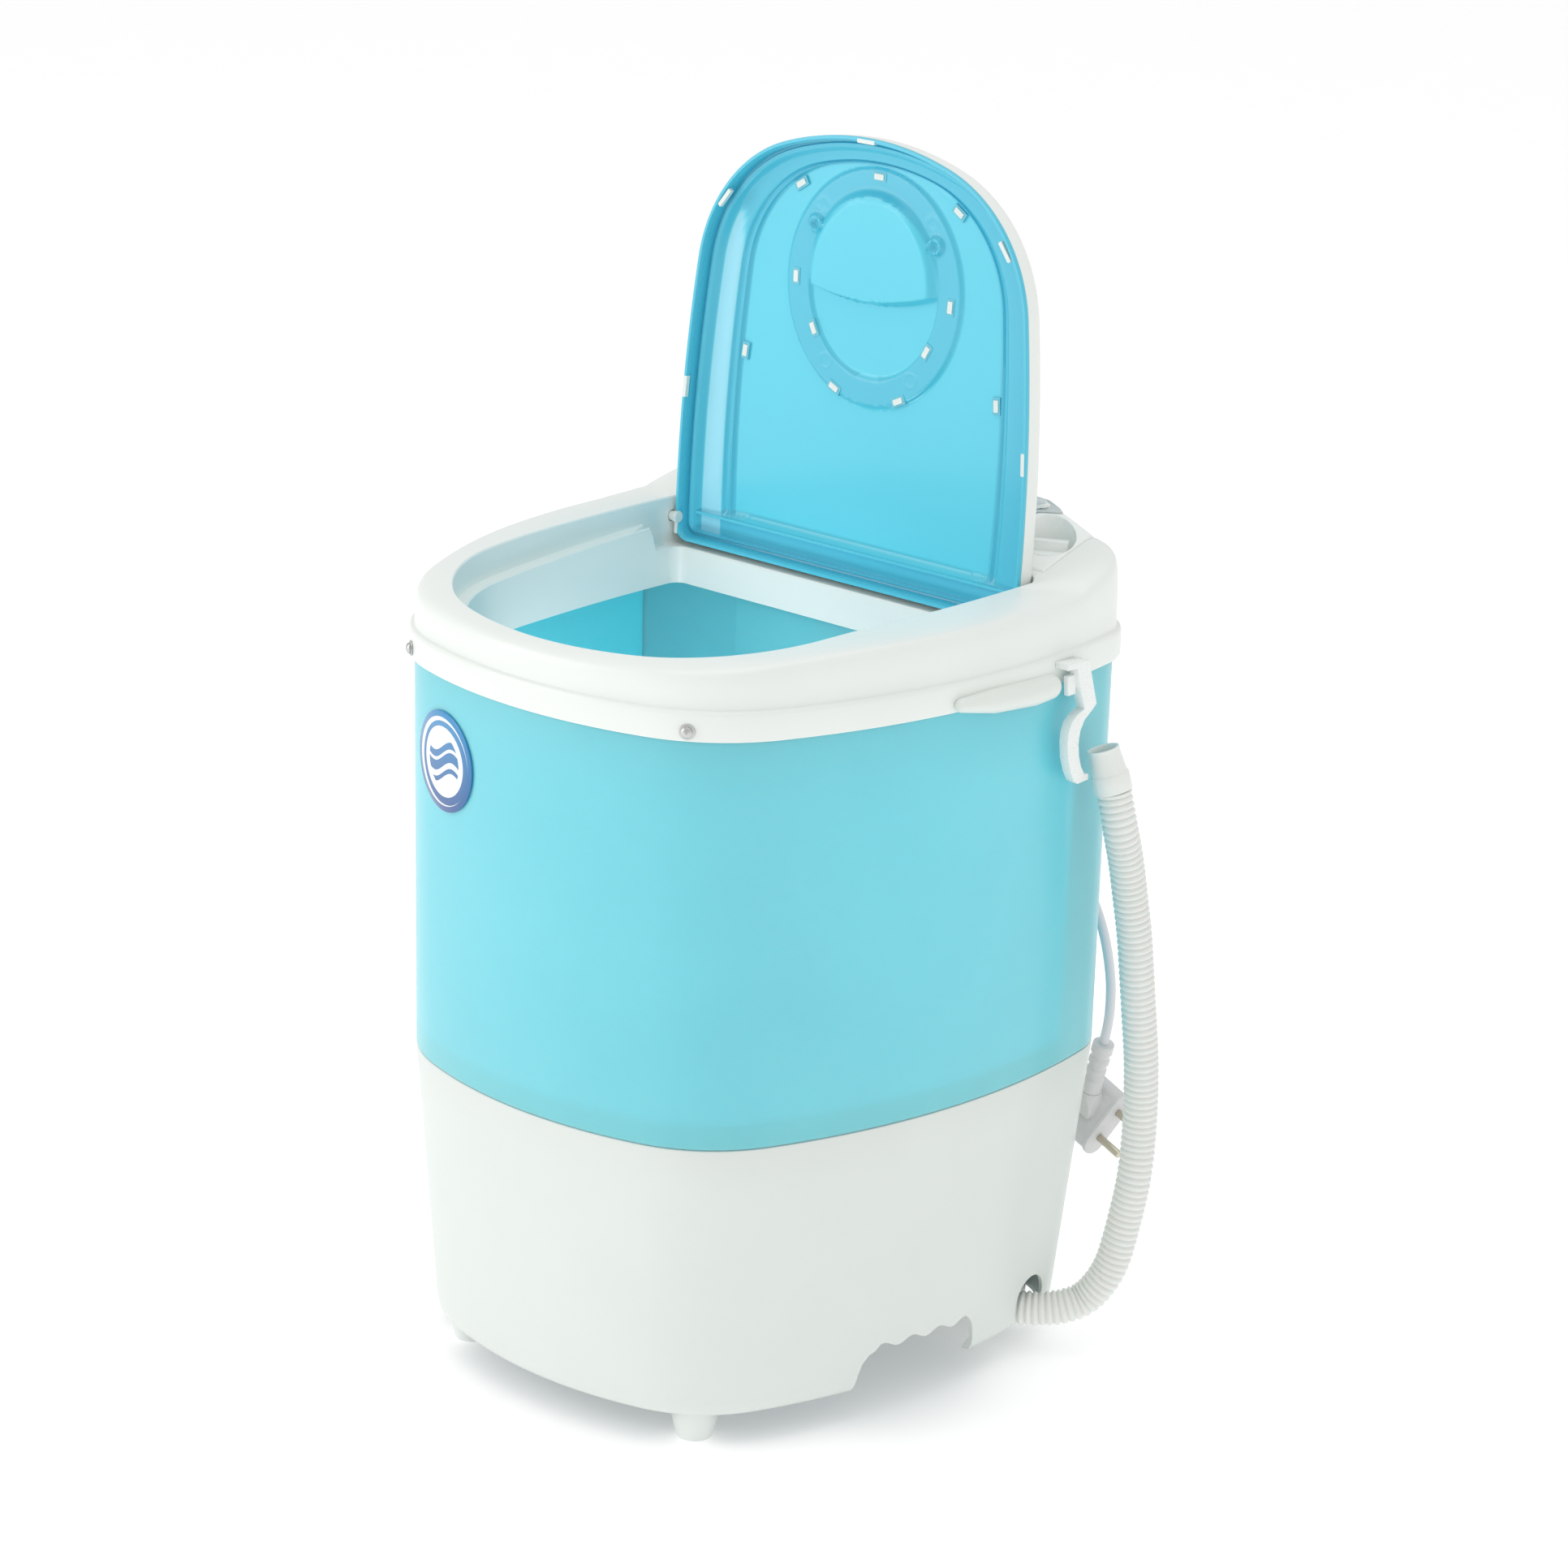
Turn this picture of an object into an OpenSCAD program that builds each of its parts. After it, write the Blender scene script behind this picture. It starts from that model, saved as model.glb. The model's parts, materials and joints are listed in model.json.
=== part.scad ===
// Compact top load washing machine: one wash tub on a tapered base, a hinged lid, a belt drive under the tub.
// Millimetres, +Z up. The origin is on the floor under the middle of the machine; the front faces -Y.

/* [Body] */
// Width of the body at the frame lip
body_w = 359; // [350:1:368]
// Front of the body at the frame lip
body_front = -180; // [-184:1:-176]
// Back of the body at the frame lip
body_back = 167; // [164:1:170]
// Height of the seam between the base and the tub
seam_z = 191; // [190:1:192]
// Height of the bottom edge of the frame lip
lip_z = 430; // [428:1:432]
// Thickness of the moulded walls
wall = 2.8; // [2.4:0.1:3]

/* [Lid] */
// Half width of the lid
lid_half_w = 134.6; // [132:0.2:135]
// Reach of the lid from its hinge axis to its free edge
lid_reach = 248.7; // [246:0.1:249]
// Backward lean of the open lid
lid_lean = 2.8; // [2:0.1:3.5]

/* [Drive] */
// Radius of the pulsator
pulsator_r = 72; // [66:1:76]
// Radius of the large pulley at the bottom of its groove
big_groove_r = 50; // [46:1:52]
// Radius of the motor pulley at the bottom of its groove
small_groove_r = 11; // [10:0.5:12]

/* [Drain] */
// Outer diameter of the drain hose
hose_d = 21; // [20:1:22]

/* [Mains lead] */
// Diameter of the mains cord
cord_d = 6; // [5.5:0.1:6.5]

/* [Hidden] */
$fn = 48;

// Colours
WHITE = [0.93, 0.95, 0.93];
BLUE = [0.42, 0.78, 0.87];
GREY = [0.72, 0.75, 0.76];
STEEL = [0.66, 0.67, 0.69];
DARK = [0.2, 0.2, 0.22];

// Plan outline of the body: [front y, front radius, half width, y of the half width, side radius,
// front corner radius, back y, rear corner radius]
body_plan = [body_front, 280, body_w / 2, 57, 417, 92, body_back, 45];
taper_y = -28;
base_z = 19.4;
base_scale = 0.902;
seam_scale = 0.978;
tub_top_scale = 0.982;

// Lid hinge axis, along X
hinge_y = 88.4;
hinge_z = 464.6;
seat_slope = 0.04;
lid_gap = 3;
lid_plan = [-lid_reach, 199, lid_half_w, -30, 1049, 94, 13.9, 10];
open_plan = [
  hinge_y - lid_reach - lid_gap, 202, lid_half_w + lid_gap, hinge_y - 30, 1052, 97, 108, 12
];
well_plan = [
  hinge_y - lid_reach - lid_gap, 202, lid_half_w + lid_gap, hinge_y - 30, 1052, 97, 94, 16
];
seat_w = 8;

// Drive axes
drive = [0, -36];
motor = [-80, 34];
belt_z = 127;
floor_z = 202;
floor_t = 3.5;

// Deck
deck_front = 110.5;
deck_back = 157;
deck_half = 136;
knob_at = [118, 137];
inlet_at = [-118, 137];
drain_at = [104, 86];
arch_y = 98;
feet_at = [[92, -122], [-92, -122], [118, 126], [-118, 126]];

// Routes of the free hose and cords, from their fixed end outwards
hose_route = [
  [118, 88, 29], [130, 88, 29], [143, 90, 29], [155, 95.5, 28.5], [166, 103, 29], [176, 112, 31],
  [184, 121, 36], [191, 127, 47], [196, 131.5, 62], [200, 135.5, 88], [203, 138.5, 115], [203, 141, 140],
  [203, 141, 167], [203, 139, 193], [202, 136, 220], [201, 133, 246], [200, 130, 271],
  [198.6, 125.3, 297.3], [198.3, 120.5, 318], [197.4, 114.3, 340.2], [193.5, 112, 361.2]
];
cord_in_route = [
  [40, 182, 60], [40, 193, 58], [39, 205, 51], [37, 217, 38], [33, 229, 24], [27, 239, 12],
  [18, 247, 5.5], [6, 252, 3.5], [-10, 253, 3.2]
];
cord_out_route = [
  [-10, 184, 14.6], [8, 185.5, 14.5], [24, 189, 13], [38, 192, 8], [48, 193, 4.8], [57, 192.8, 3.5],
  [68.4, 191.2, 5.9], [77.5, 188.5, 13.2], [82.6, 185.5, 24], [84, 182, 36], [84, 177, 60], [84, 173.5, 95],
  [84, 172, 150], [84, 172, 200], [85, 172, 224], [87, 172, 243], [90, 172, 258], [94.2, 172, 268],
  [101.7, 172, 274.9], [111.5, 172, 278.1], [122, 172, 277], [132.2, 172, 270.8], [141, 172, 257.5],
  [147.5, 173, 239], [150, 176, 215], [148, 179, 192], [143.5, 181, 172.5]
];
coil_at = [-10, 217];
coil_r = 33;
coil_h = 3 * cord_d;
wiring_route = [
  [70, 132, 96], [74, 126, 130], [84, 124, 180], [96, 126, 250], [106, 130, 330], [112, 134, 400],
  [115, 136, 439.9]
];

// Plug, hanging at the end of the cord and tilted about Y
plug_at = [143.5, 181, 172.3];
plug_turn = [0, 16, -10];
face_at = [17, 5.6, -51.8];
face_turn = [-33, 0, 0];

// ---------- functions ----------

function arc(c, r, a0, a1, n, first) =
  [for (i = [first:n]) let (a = a0 + (a1 - a0) * i / n) c + r * [cos(a), sin(a)]];

// Centre of the circle of radius r inside two larger circles that touches both
function touch_centre(c1, r1, c2, r2, r) =
  let (
    d = c2 - c1,
    span = norm(d),
    e = d / span,
    p = r1 - r,
    q = r2 - r,
    a = (p * p - q * q + span * span) / (2 * span),
    h = sqrt(p * p - a * a)
  )
  c1 + a * e + h * [-e[1], e[0]];

function inset(f, g) =
  [f[0] + g, f[1] - g, f[2] - g, f[3], f[4] - g, f[5] - g, f[6] - g, max(f[7] - g, 1)];

// Half of a plan outline, from the middle of the front round to the middle of the back
function half_plan(f) =
  let (
    c1 = [0, f[0] + f[1]],
    c2 = [f[2] - f[4], f[3]],
    p = touch_centre(c1, f[1], c2, f[4], f[5]),
    a1 = atan2(p[1] - c1[1], p[0] - c1[0]),
    a2 = atan2(p[1] - c2[1], p[0] - c2[0]),
    qy = f[6] - f[7],
    qx = c2[0] + sqrt(pow(f[4] - f[7], 2) - pow(qy - c2[1], 2)),
    a3 = atan2(qy - c2[1], qx - c2[0])
  )
  concat(
    arc(c1, f[1], -90, a1, 5, 0),
    arc(p, f[5], a1, a2, 7, 1),
    arc(c2, f[4], a2, a3, 9, 1),
    arc([qx, qy], f[7], a3, 90, 5, 1),
    [for (i = [1:4]) [qx * (1 - i / 4), f[6]]]
  );

function plan(f, g) =
  let (h = half_plan(inset(f, g)), m = len(h) - 1)
  concat(h, [for (i = [m - 1:-1:1]) [-h[i][0], h[i][1]]]);

function squeeze(p, s) = [p[0] * s, (p[1] - taper_y) * s + taper_y];
function ring(points, z) = [for (p = points) [p[0], p[1], z]];
function body_ring(g, s, z) = [for (p = plan(body_plan, g)) let (q = squeeze(p, s)) [q[0], q[1], z]];

// Height of the frame's crest, the seat under the lid and the deck
function rim_z(y) = 476.7 - 19.8 * pow(max(0, -28 - y) / 200, 2) + 0.22 * max(0, y - 99);
function seat_z(y) = y > 66 ? 447.5 : hinge_z - 0.6 + seat_slope * (y - hinge_y);
function ramp(t) = let (u = max(0, min(1, t))) u * u * (3 - 2 * u);
function deck_z(x, y) = rim_z(y) + 0.33 * max(0, y - 104) * ramp((136 - abs(x)) / 40);

// Share of the way from the outer wall to the opening; the rear edge is rounded more tightly
function edge_share(t, y) = t * (1 - 0.68 * ramp((y - 50) / 70));
function top_ring(t, drop) =
  let (outer = plan(body_plan, 3), inner = plan(open_plan, 0))
  [for (i = [0:len(outer) - 1])
    let (p = outer[i], q = inner[i], k = edge_share(t, p[1]), r = p + (q - p) * k)
    [r[0], r[1], max(rim_z(r[1]) - drop, lip_z + 19)]];

// Catmull-Rom curve through a route, n pieces a span
function smooth(route, n) =
  let (m = len(route) - 1)
  concat(
    [for (i = [0:m - 1], j = [0:n - 1])
      let (
        t = j / n,
        a = i > 0 ? route[i - 1] : 2 * route[0] - route[1],
        b = route[i],
        c = route[i + 1],
        d = i < m - 1 ? route[i + 2] : 2 * route[m] - route[m - 1]
      )
      b + 0.5 * t * ((c - a) + t * ((2 * a - 5 * b + 4 * c - d) + t * (3 * (b - c) + d - a)))],
    [route[m]]
  );

function unit(v) = v / norm(v);
function tangent(p, i) =
  let (m = len(p) - 1)
  unit(i == 0 ? p[1] - p[0] : i == m ? p[m] - p[m - 1] : p[i + 1] - p[i - 1]);

// ---------- shared modules ----------

// Closed wall through a loop of rings: up the outside, down the inside
module loft(rings) {
  n = len(rings[0]);
  k = len(rings);
  polyhedron(
    points = [for (r = rings) each r],
    faces = [for (i = [0:k - 1], j = [0:n - 1])
      let (
        a = i * n + j,
        b = i * n + (j + 1) % n,
        c = ((i + 1) % k) * n + (j + 1) % n,
        d = ((i + 1) % k) * n + j
      )
      each [[a, c, b], [a, d, c]]]
  );
}

// Round tube swept along a list of points
module sweep(p, r, sides) {
  m = len(p);
  first = unit(cross(tangent(p, 0), [0.31, 0.2, 0.93]));
  side = [for (i = 0, n = first; i < m; i = i + 1,
    n = i < m ? unit(n - (n * tangent(p, i)) * tangent(p, i)) : n) n];
  points = [for (i = [0:m - 1])
    let (t = tangent(p, i), u = unit(side[i] - (side[i] * t) * t), v = cross(t, u))
    each [for (j = [0:sides - 1]) let (a = 360 * j / sides) p[i] + r * (cos(a) * u + sin(a) * v)]];
  faces = concat(
    [[for (j = [0:sides - 1]) j]],
    [[for (j = [0:sides - 1]) (m - 1) * sides + sides - 1 - j]],
    [for (i = [0:m - 2], j = [0:sides - 1])
      let (a = i * sides + j, b = i * sides + (j + 1) % sides)
      each [[a, a + sides, b], [b, a + sides, b + sides]]]
  );
  polyhedron(points = points, faces = faces);
}

// Slab that follows the deck, from low to high above its surface
module deck_slab(low, high, x0, x1, y0, y1, nx, ny) {
  points = concat(
    [for (i = [0:nx], j = [0:ny])
      let (x = x0 + (x1 - x0) * i / nx, y = y0 + (y1 - y0) * j / ny) [x, y, deck_z(x, y) + high]],
    [for (i = [0:nx], j = [0:ny])
      let (x = x0 + (x1 - x0) * i / nx, y = y0 + (y1 - y0) * j / ny) [x, y, deck_z(x, y) + low]]
  );
  k = (nx + 1) * (ny + 1);
  w = ny + 1;
  faces = concat(
    [for (i = [0:nx - 1], j = [0:ny - 1]) let (a = i * w + j)
      each [[a, a + 1, a + w + 1], [a, a + w + 1, a + w]]],
    [for (i = [0:nx - 1], j = [0:ny - 1]) let (a = k + i * w + j)
      each [[a, a + w + 1, a + 1], [a, a + w, a + w + 1]]],
    [for (i = [0:nx - 1]) let (a = i * w, b = (i + 1) * w)
      each [[a, b, b + k], [a, b + k, a + k]]],
    [for (i = [0:nx - 1]) let (a = i * w + ny, b = (i + 1) * w + ny)
      each [[a, b + k, b], [a, a + k, b + k]]],
    [for (j = [0:ny - 1]) each [[j, j + 1 + k, j + 1], [j, j + k, j + 1 + k]]],
    [for (j = [0:ny - 1]) let (a = nx * w + j)
      each [[a, a + 1, a + 1 + k], [a, a + 1 + k, a + k]]]
  );
  polyhedron(points = points, faces = faces);
}

module tube(r_out, r_in, h) {
  difference() {
    cylinder(r = r_out, h = h);
    translate([0, 0, -1]) cylinder(r = r_in, h = h + 2);
  }
}

module at_drive(z) {
  translate([drive[0], drive[1], z]) children();
}

module at_motor(z) {
  translate([motor[0], motor[1], z]) children();
}

// Lid frame: x across, y from the hinge axis to the free edge, z out of the underside
module lid_pose() {
  translate([0, hinge_y, hinge_z]) rotate([90 - lid_lean, 0, 0]) mirror([0, 1, 0]) children();
}

// Place for each screw of the lip, with z pointing out of the wall
screw_turn = -57;
module at_lip_screws() {
  p = touch_centre(
    [0, body_front + 280], 280, [body_w / 2 - 417, 57], 417, 92
  );
  for (side = [0, 1])
    mirror([side, 0, 0]) {
      translate([p[0], p[1], 436])
        rotate([0, 0, screw_turn]) translate([92, 0, 0]) rotate([0, 90, 0]) children();
      translate([100, body_back, 436]) rotate([-90, 0, 0]) children();
    }
}

// ---------- body shells ----------

module foot_post(at, size) {
  intersection() {
    translate([0, 0, 26]) linear_extrude(4) polygon([for (p = plan(body_plan, 1.4)) squeeze(p, 0.906)]);
    translate([at[0], at[1], 28]) cube([size[0], size[1], 20], center = true);
  }
  translate([at[0], at[1], 26]) cylinder(r = 8, h = 14);
}

// Hand notch with a wavy top edge, cut through the right wall
module notch() {
  waves = [for (i = [0:24]) let (y = -37 + 3 * i) [y, 44.5 + 2 * sin((y + 36) * 19)]];
  translate([110, 0, 0]) rotate([90, 0, 90]) linear_extrude(90)
    polygon(concat([[-50, 10], [-48, 25], [-44, 37]], waves, [[40, 42], [43, 34], [43, 10]]));
}

module base_skirt() {
  top_in = 3.4;
  color(WHITE)
    difference() {
      union() {
        loft([
          body_ring(6, base_scale, base_z), body_ring(2.5, base_scale, base_z + 2.2),
          body_ring(0, base_scale + 0.003, base_z + 8), body_ring(0, seam_scale, seam_z - 0.3),
          body_ring(top_in, seam_scale, seam_z - 0.3), body_ring(top_in, seam_scale, seam_z + 7),
          body_ring(top_in + 2.4, seam_scale, seam_z + 7),
          body_ring(top_in + 2.4, seam_scale, seam_z - 6),
          body_ring(wall, base_scale + 0.005, base_z + 10),
          body_ring(6, base_scale + 0.001, base_z + 2.4)
        ]);
        foot_post(feet_at[0], [80, 84]);
        foot_post(feet_at[1], [80, 84]);
        foot_post(feet_at[2], [80, 34]);
        foot_post(feet_at[3], [80, 34]);
        for (x = [60, 88])
          translate([x, 140.1, 81]) rotate([-90, 0, 0]) cylinder(r = 4, h = 12);
      }
      notch();
      // arch for the drain hose
      translate([120, arch_y, 36]) rotate([0, 90, 0]) cylinder(r = 14.5, h = 80);
      translate([120, arch_y - 14.5, 0]) cube([80, 29, 36]);
      // hole for the cord gland
      translate([40, 100, 60]) rotate([-90, 0, 0]) cylinder(r = 6.6, h = 80);
      for (p = feet_at)
        translate([p[0], p[1], 20]) cylinder(r = 2.1, h = 24);
    }
}

module tub_shape(inset) {
  polygon([for (p = plan(body_plan, inset)) squeeze(p, seam_scale + 0.001)]);
}

module wash_tub() {
  posts = [[-38, -38], [38, -38], [-38, 38], [38, 38]];
  color(BLUE, 0.75)
    difference() {
      union() {
        loft([
          body_ring(0, seam_scale, seam_z), body_ring(0, tub_top_scale, 443),
          body_ring(wall, tub_top_scale, 443), body_ring(wall, seam_scale, seam_z)
        ]);
        translate([0, 0, floor_z]) linear_extrude(floor_t) intersection() {
          tub_shape(1.5);
          translate([-200, -200]) square([400, 303]);
        }
        // rear wall of the tub, with a flat raised middle
        translate([0, 0, floor_z]) linear_extrude(222) intersection() {
          tub_shape(1.5);
          union() {
            translate([-200, 100]) square([400, 3]);
            translate([-88, 94]) square([176, 3]);
            translate([-88, 94]) square([3, 8]);
            translate([85, 94]) square([3, 8]);
          }
        }
        for (p = posts)
          at_motor(192) translate([p[0], p[1], 0]) cylinder(r = 6, h = 11);
        translate([72, 40, 190]) cylinder(r = 5, h = 13);
      }
      at_drive(190) cylinder(r = 10.5, h = 30);
      for (p = posts)
        at_motor(191) translate([p[0], p[1], 0]) cylinder(r = 2.1, h = 10);
      for (a = [30, 150, 270])
        at_drive(200) rotate(a) translate([24, 0, 0]) cylinder(r = 2.1, h = 4);
      translate([drain_at[0], drain_at[1], 190]) cylinder(r = 9.5, h = 30);
      translate([72, 40, 189]) cylinder(r = 1.6, h = 10);
      at_lip_screws() translate([0, 0, -12]) cylinder(r = 1.75, h = 14);
    }
}

module top_frame() {
  open0 = plan(open_plan, 0);
  open_in = plan(open_plan, 1);
  open_out = plan(open_plan, -1.8);
  well_in = plan(well_plan, seat_w);
  well_out = plan(well_plan, seat_w - 2.4);
  color(WHITE)
    difference() {
      loft([
        ring(plan(body_plan, 0), lip_z), ring(plan(body_plan, 0), lip_z + 16.5),
        ring(plan(body_plan, 2.6), lip_z + 18.5),
        top_ring(0.06, 17), top_ring(0.2, 8.5), top_ring(0.42, 3.5), top_ring(0.7, 1),
        [for (p = open0) [p[0], p[1], rim_z(p[1])]],
        [for (p = open_in) [p[0], p[1], seat_z(p[1])]],
        [for (p = well_in) [p[0], p[1], seat_z(p[1])]],
        ring(well_in, 425), ring(well_out, 425),
        [for (p = well_out) [p[0], p[1], seat_z(p[1]) - 2.4]],
        [for (p = open_out) [p[0], p[1], seat_z(p[1]) - 2.4]],
        [for (p = open_out) [p[0], p[1], rim_z(p[1]) - 4]],
        top_ring(0.7, 4), top_ring(0.44, 7), top_ring(0.25, 12),
        ring(plan(body_plan, 5.6), lip_z + 17.5), ring(plan(body_plan, 2.4), lip_z + 14.5),
        ring(plan(body_plan, 2.2), lip_z)
      ]);
      // opening for the control panel
      translate([-deck_half, deck_front, 455]) cube([2 * deck_half, deck_back - deck_front, 60]);
      // holes for the lid's hinge pins
      translate([-145, hinge_y, hinge_z]) rotate([0, 90, 0]) cylinder(r = 3.6, h = 290);
      at_lip_screws() translate([0, 0, -8]) cylinder(r = 1.9, h = 10);
    }
}

// Carrying grips, one along each side of the lip
module side_grips() {
  color(WHITE)
    for (side = [0, 1])
      mirror([side, 0, 0]) difference() {
        hull() {
          translate([177, -9, 435]) sphere(r = 4, $fn = 20);
          translate([179.5, 16, 433]) sphere(r = 7, $fn = 20);
          translate([179.5, 50, 431]) sphere(r = 8, $fn = 20);
          translate([179, 65, 431]) sphere(r = 7.5, $fn = 20);
        }
        translate([0, 0, 400]) linear_extrude(60) polygon(plan(body_plan, -0.05));
      }
}

module frame_screws() {
  color(STEEL)
    at_lip_screws() {
      translate([0, 0, 1]) intersection() {
        cylinder(r = 3.2, h = 2.4);
        translate([0, 0, -2.2]) sphere(r = 4.6);
      }
      translate([0, 0, -7]) cylinder(r = 1.6, h = 8);
    }
}

module screw_washers() {
  color(STEEL)
    at_lip_screws()
      translate([0, 0, 0.1]) tube(4.4, 1.7, 0.9);
}

module hinge_bushes() {
  color(WHITE)
    for (side = [0, 1])
      mirror([side, 0, 0])
        translate([139.6, hinge_y, hinge_z]) rotate([0, 90, 0]) difference() {
          cylinder(r = 6.5, h = 9);
          translate([0, 0, -1]) cylinder(r = 3.05, h = 8.5);
        }
}

// Round label, curved to the tub's front
module badge() {
  k = seam_scale + (tub_top_scale - seam_scale) * 0.75;
  centre_y = taper_y + (body_front + 280 - taper_y) * k;
  color([0.1, 0.4, 0.7])
    translate([0, centre_y, 381]) rotate([0, 0, -14.1]) intersection() {
      translate([0, 0, -32]) tube(280 * k + 1.5, 280 * k + 0.4, 64);
      translate([0, -260, 0]) rotate([90, 0, 0]) cylinder(r = 29.5, h = 30);
    }
}

// ---------- lid ----------

module lid_outline(g) {
  polygon(plan(lid_plan, g));
}

// Ring between two insets of the lid's outline, from z0 to z1 below its rim
module lid_band(g0, g1, z0, z1) {
  translate([0, 0, z0]) linear_extrude(z1 - z0) difference() {
    lid_outline(g0);
    lid_outline(g1);
  }
}

module lid_slots() {
  for (side = [-1, 1], at = [[102, -107], [99.5, -26]])
    translate([side * at[0], at[1], 0]) children();
  for (side = [-1, 1])
    translate([side * 59, -215.5, 0]) rotate(side * 62) children();
}

// Places of the seven pegs of the handle ring
module ring_pegs() {
  for (i = [0:6])
    translate([58 * sin(i * 360 / 7), -160 - 62 * cos(i * 360 / 7), 0]) children();
}

module lid_cover() {
  color(WHITE)
    lid_pose() difference() {
      union() {
        lid_band(0.4, 2.8, -12.6, -3.3);
        lid_band(2, 9, -14.2, -12.3);
        lid_band(7, 13, -16.2, -14);
        lid_band(11, 17.6, -17.9, -16);
        // dome round the window, kept clear of the deck behind the hinge
        intersection() {
          union() {
            lid_band(15, 17.6, -20, -17.6);
            lid_band(15, 42, -20, -18.2);
          }
          translate([-140, -260, -30]) cube([280, 240, 30]);
        }
        // snap tabs through the panel
        lid_slots() translate([-1.6, -4, -18.4]) cube([3.2, 8, 4.6]);
        // hinge ears and pins
        for (side = [0, 1])
          mirror([side, 0, 0]) {
            translate([130.8, 0, 0]) rotate([0, 90, 0]) cylinder(r = 5.4, h = 3.2);
            translate([130.8, -5, -10]) cube([3.2, 10, 10]);
            translate([133, 0, 0]) rotate([0, 90, 0]) cylinder(r = 3, h = 12);
          }
      }
      // seat of the handle ring
      translate([0, -160, -26]) linear_extrude(12) scale([67, 71]) circle(r = 1, $fn = 96);
    }
}

module pocket(gap) {
  intersection() {
    scale([40 - gap, 50 - gap]) circle(r = 1, $fn = 72);
    translate([-60, -60]) square([120, 70 - gap]);
  }
}

module lid_panel() {
  color(BLUE, 0.75)
    lid_pose()
      difference() {
        union() {
          lid_band(0, 3.4, -3, 0);
          lid_band(3.1, 5.3, -12, -2.5);
          lid_band(5, 20, -12, -10);
          lid_band(18, 20.2, -17.9, -10);
          translate([0, 0, -17.9]) linear_extrude(1.6) lid_outline(20);
          // stiffening rib by the hinge
          translate([-110, -10, -17.6]) cube([220, 2, 8]);
          translate([0, -178, -17.7]) linear_extrude(9) pocket(0);
        }
        // clearance round the hinge ears
        for (side = [0, 1])
          mirror([side, 0, 0]) translate([129.6, -7, -24]) cube([8, 14, 32]);
        lid_slots() translate([-2.6, -5, -24]) cube([5.2, 10, 14]);
        ring_pegs() translate([0, 0, -24]) cylinder(r = 3.2, h = 9);
        // hollow of the finger pocket, open to the outside
        translate([0, -178, -20]) linear_extrude(9.4) pocket(2);
      }
}

module handle_ring() {
  color(WHITE)
    lid_pose() {
      translate([0, -160, -20.3]) linear_extrude(2.1) difference() {
        scale([66, 70]) circle(r = 1, $fn = 96);
        scale([50, 54]) circle(r = 1, $fn = 96);
      }
      ring_pegs() translate([0, 0, -18.4]) cylinder(r = 2.2, h = 4);
    }
}

// ---------- deck ----------

module control_panel() {
  color(WHITE)
    difference() {
      union() {
        deck_slab(-2.4, 0, -deck_half + 0.4, deck_half - 0.4, deck_front + 0.4, deck_back - 0.4, 20, 6);
        intersection() {
          deck_slab(-26, -1, -deck_half + 0.4, deck_half - 0.4, deck_front + 0.4, deck_back - 0.4, 20, 6);
          translate([knob_at[0], knob_at[1], 478.6]) cylinder(r = 17.6, h = 40);
        }
      }
      translate([knob_at[0], knob_at[1], 481]) cylinder(r = 16, h = 40);
      translate([knob_at[0], knob_at[1], 470]) cylinder(r = 3.4, h = 20);
      translate([inlet_at[0], inlet_at[1], 470]) cylinder(r = 9.4, h = 40);
    }
}

module lens() {
  intersection() {
    translate([0, 151 + 154.5]) circle(r = 188.5, $fn = 120);
    translate([-120, 100]) square([240, 56]);
  }
}

module emblem_plate() {
  color(GREY)
    intersection() {
      deck_slab(0.3, 1.1, -110, 110, 112, 156.4, 16, 5);
      translate([0, 0, 470]) linear_extrude(60) lens();
    }
}

module emblem_cap() {
  color(GREY)
    intersection() {
      deck_slab(1.4, 3.6, -104, 104, 122, 156, 16, 5);
      translate([0, 141, 470]) linear_extrude(60) scale([7, 1]) circle(r = 13.5, $fn = 64);
    }
}

module timer_knob() {
  color(WHITE)
    translate([knob_at[0], knob_at[1], 0]) difference() {
      union() {
        translate([0, 0, 481.8]) cylinder(r1 = 13.5, r2 = 12, h = 3.4);
        translate([0, 0, 485]) intersection() {
          rotate([0, 0, -63]) translate([-3.2, -12, 0]) cube([6.4, 24, 6]);
          cylinder(r = 11.8, h = 6);
        }
      }
      translate([0, 0, 480]) cylinder(r = 3.02, h = 9);
    }
}

module timer_shaft() {
  color(STEEL)
    translate([knob_at[0], knob_at[1], 463]) cylinder(r = 3, h = 25.6);
}

module timer_body() {
  color([0.85, 0.85, 0.8])
    translate([knob_at[0], knob_at[1], 0]) difference() {
      union() {
        translate([0, 0, 448]) cylinder(r = 17, h = 22);
        translate([0, 0, 470]) cylinder(r = 6, h = 8);
        translate([-12, -5, 440]) cube([24, 10, 9]);
      }
      translate([0, 0, 462]) cylinder(r = 3.05, h = 20);
    }
}

module water_inlet() {
  color(WHITE)
    translate([inlet_at[0], inlet_at[1], 0]) difference() {
      union() {
        translate([0, 0, 440]) cylinder(r = 9, h = 78);
        translate([0, 0, 500.6]) cylinder(r = 14, h = 3);
      }
      translate([0, 0, 439]) cylinder(r = 6.4, h = 80);
    }
}

// Chute from the inlet to the edge of the tub
module inlet_chute() {
  color(WHITE)
    difference() {
      translate([-132, 96.5, 426.6]) cube([28, 54, 16]);
      translate([-130, 90, 428.6]) cube([24, 58.5, 12]);
      translate([inlet_at[0], inlet_at[1], 438]) cylinder(r = 9.1, h = 20);
    }
}

// ---------- drive ----------

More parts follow.
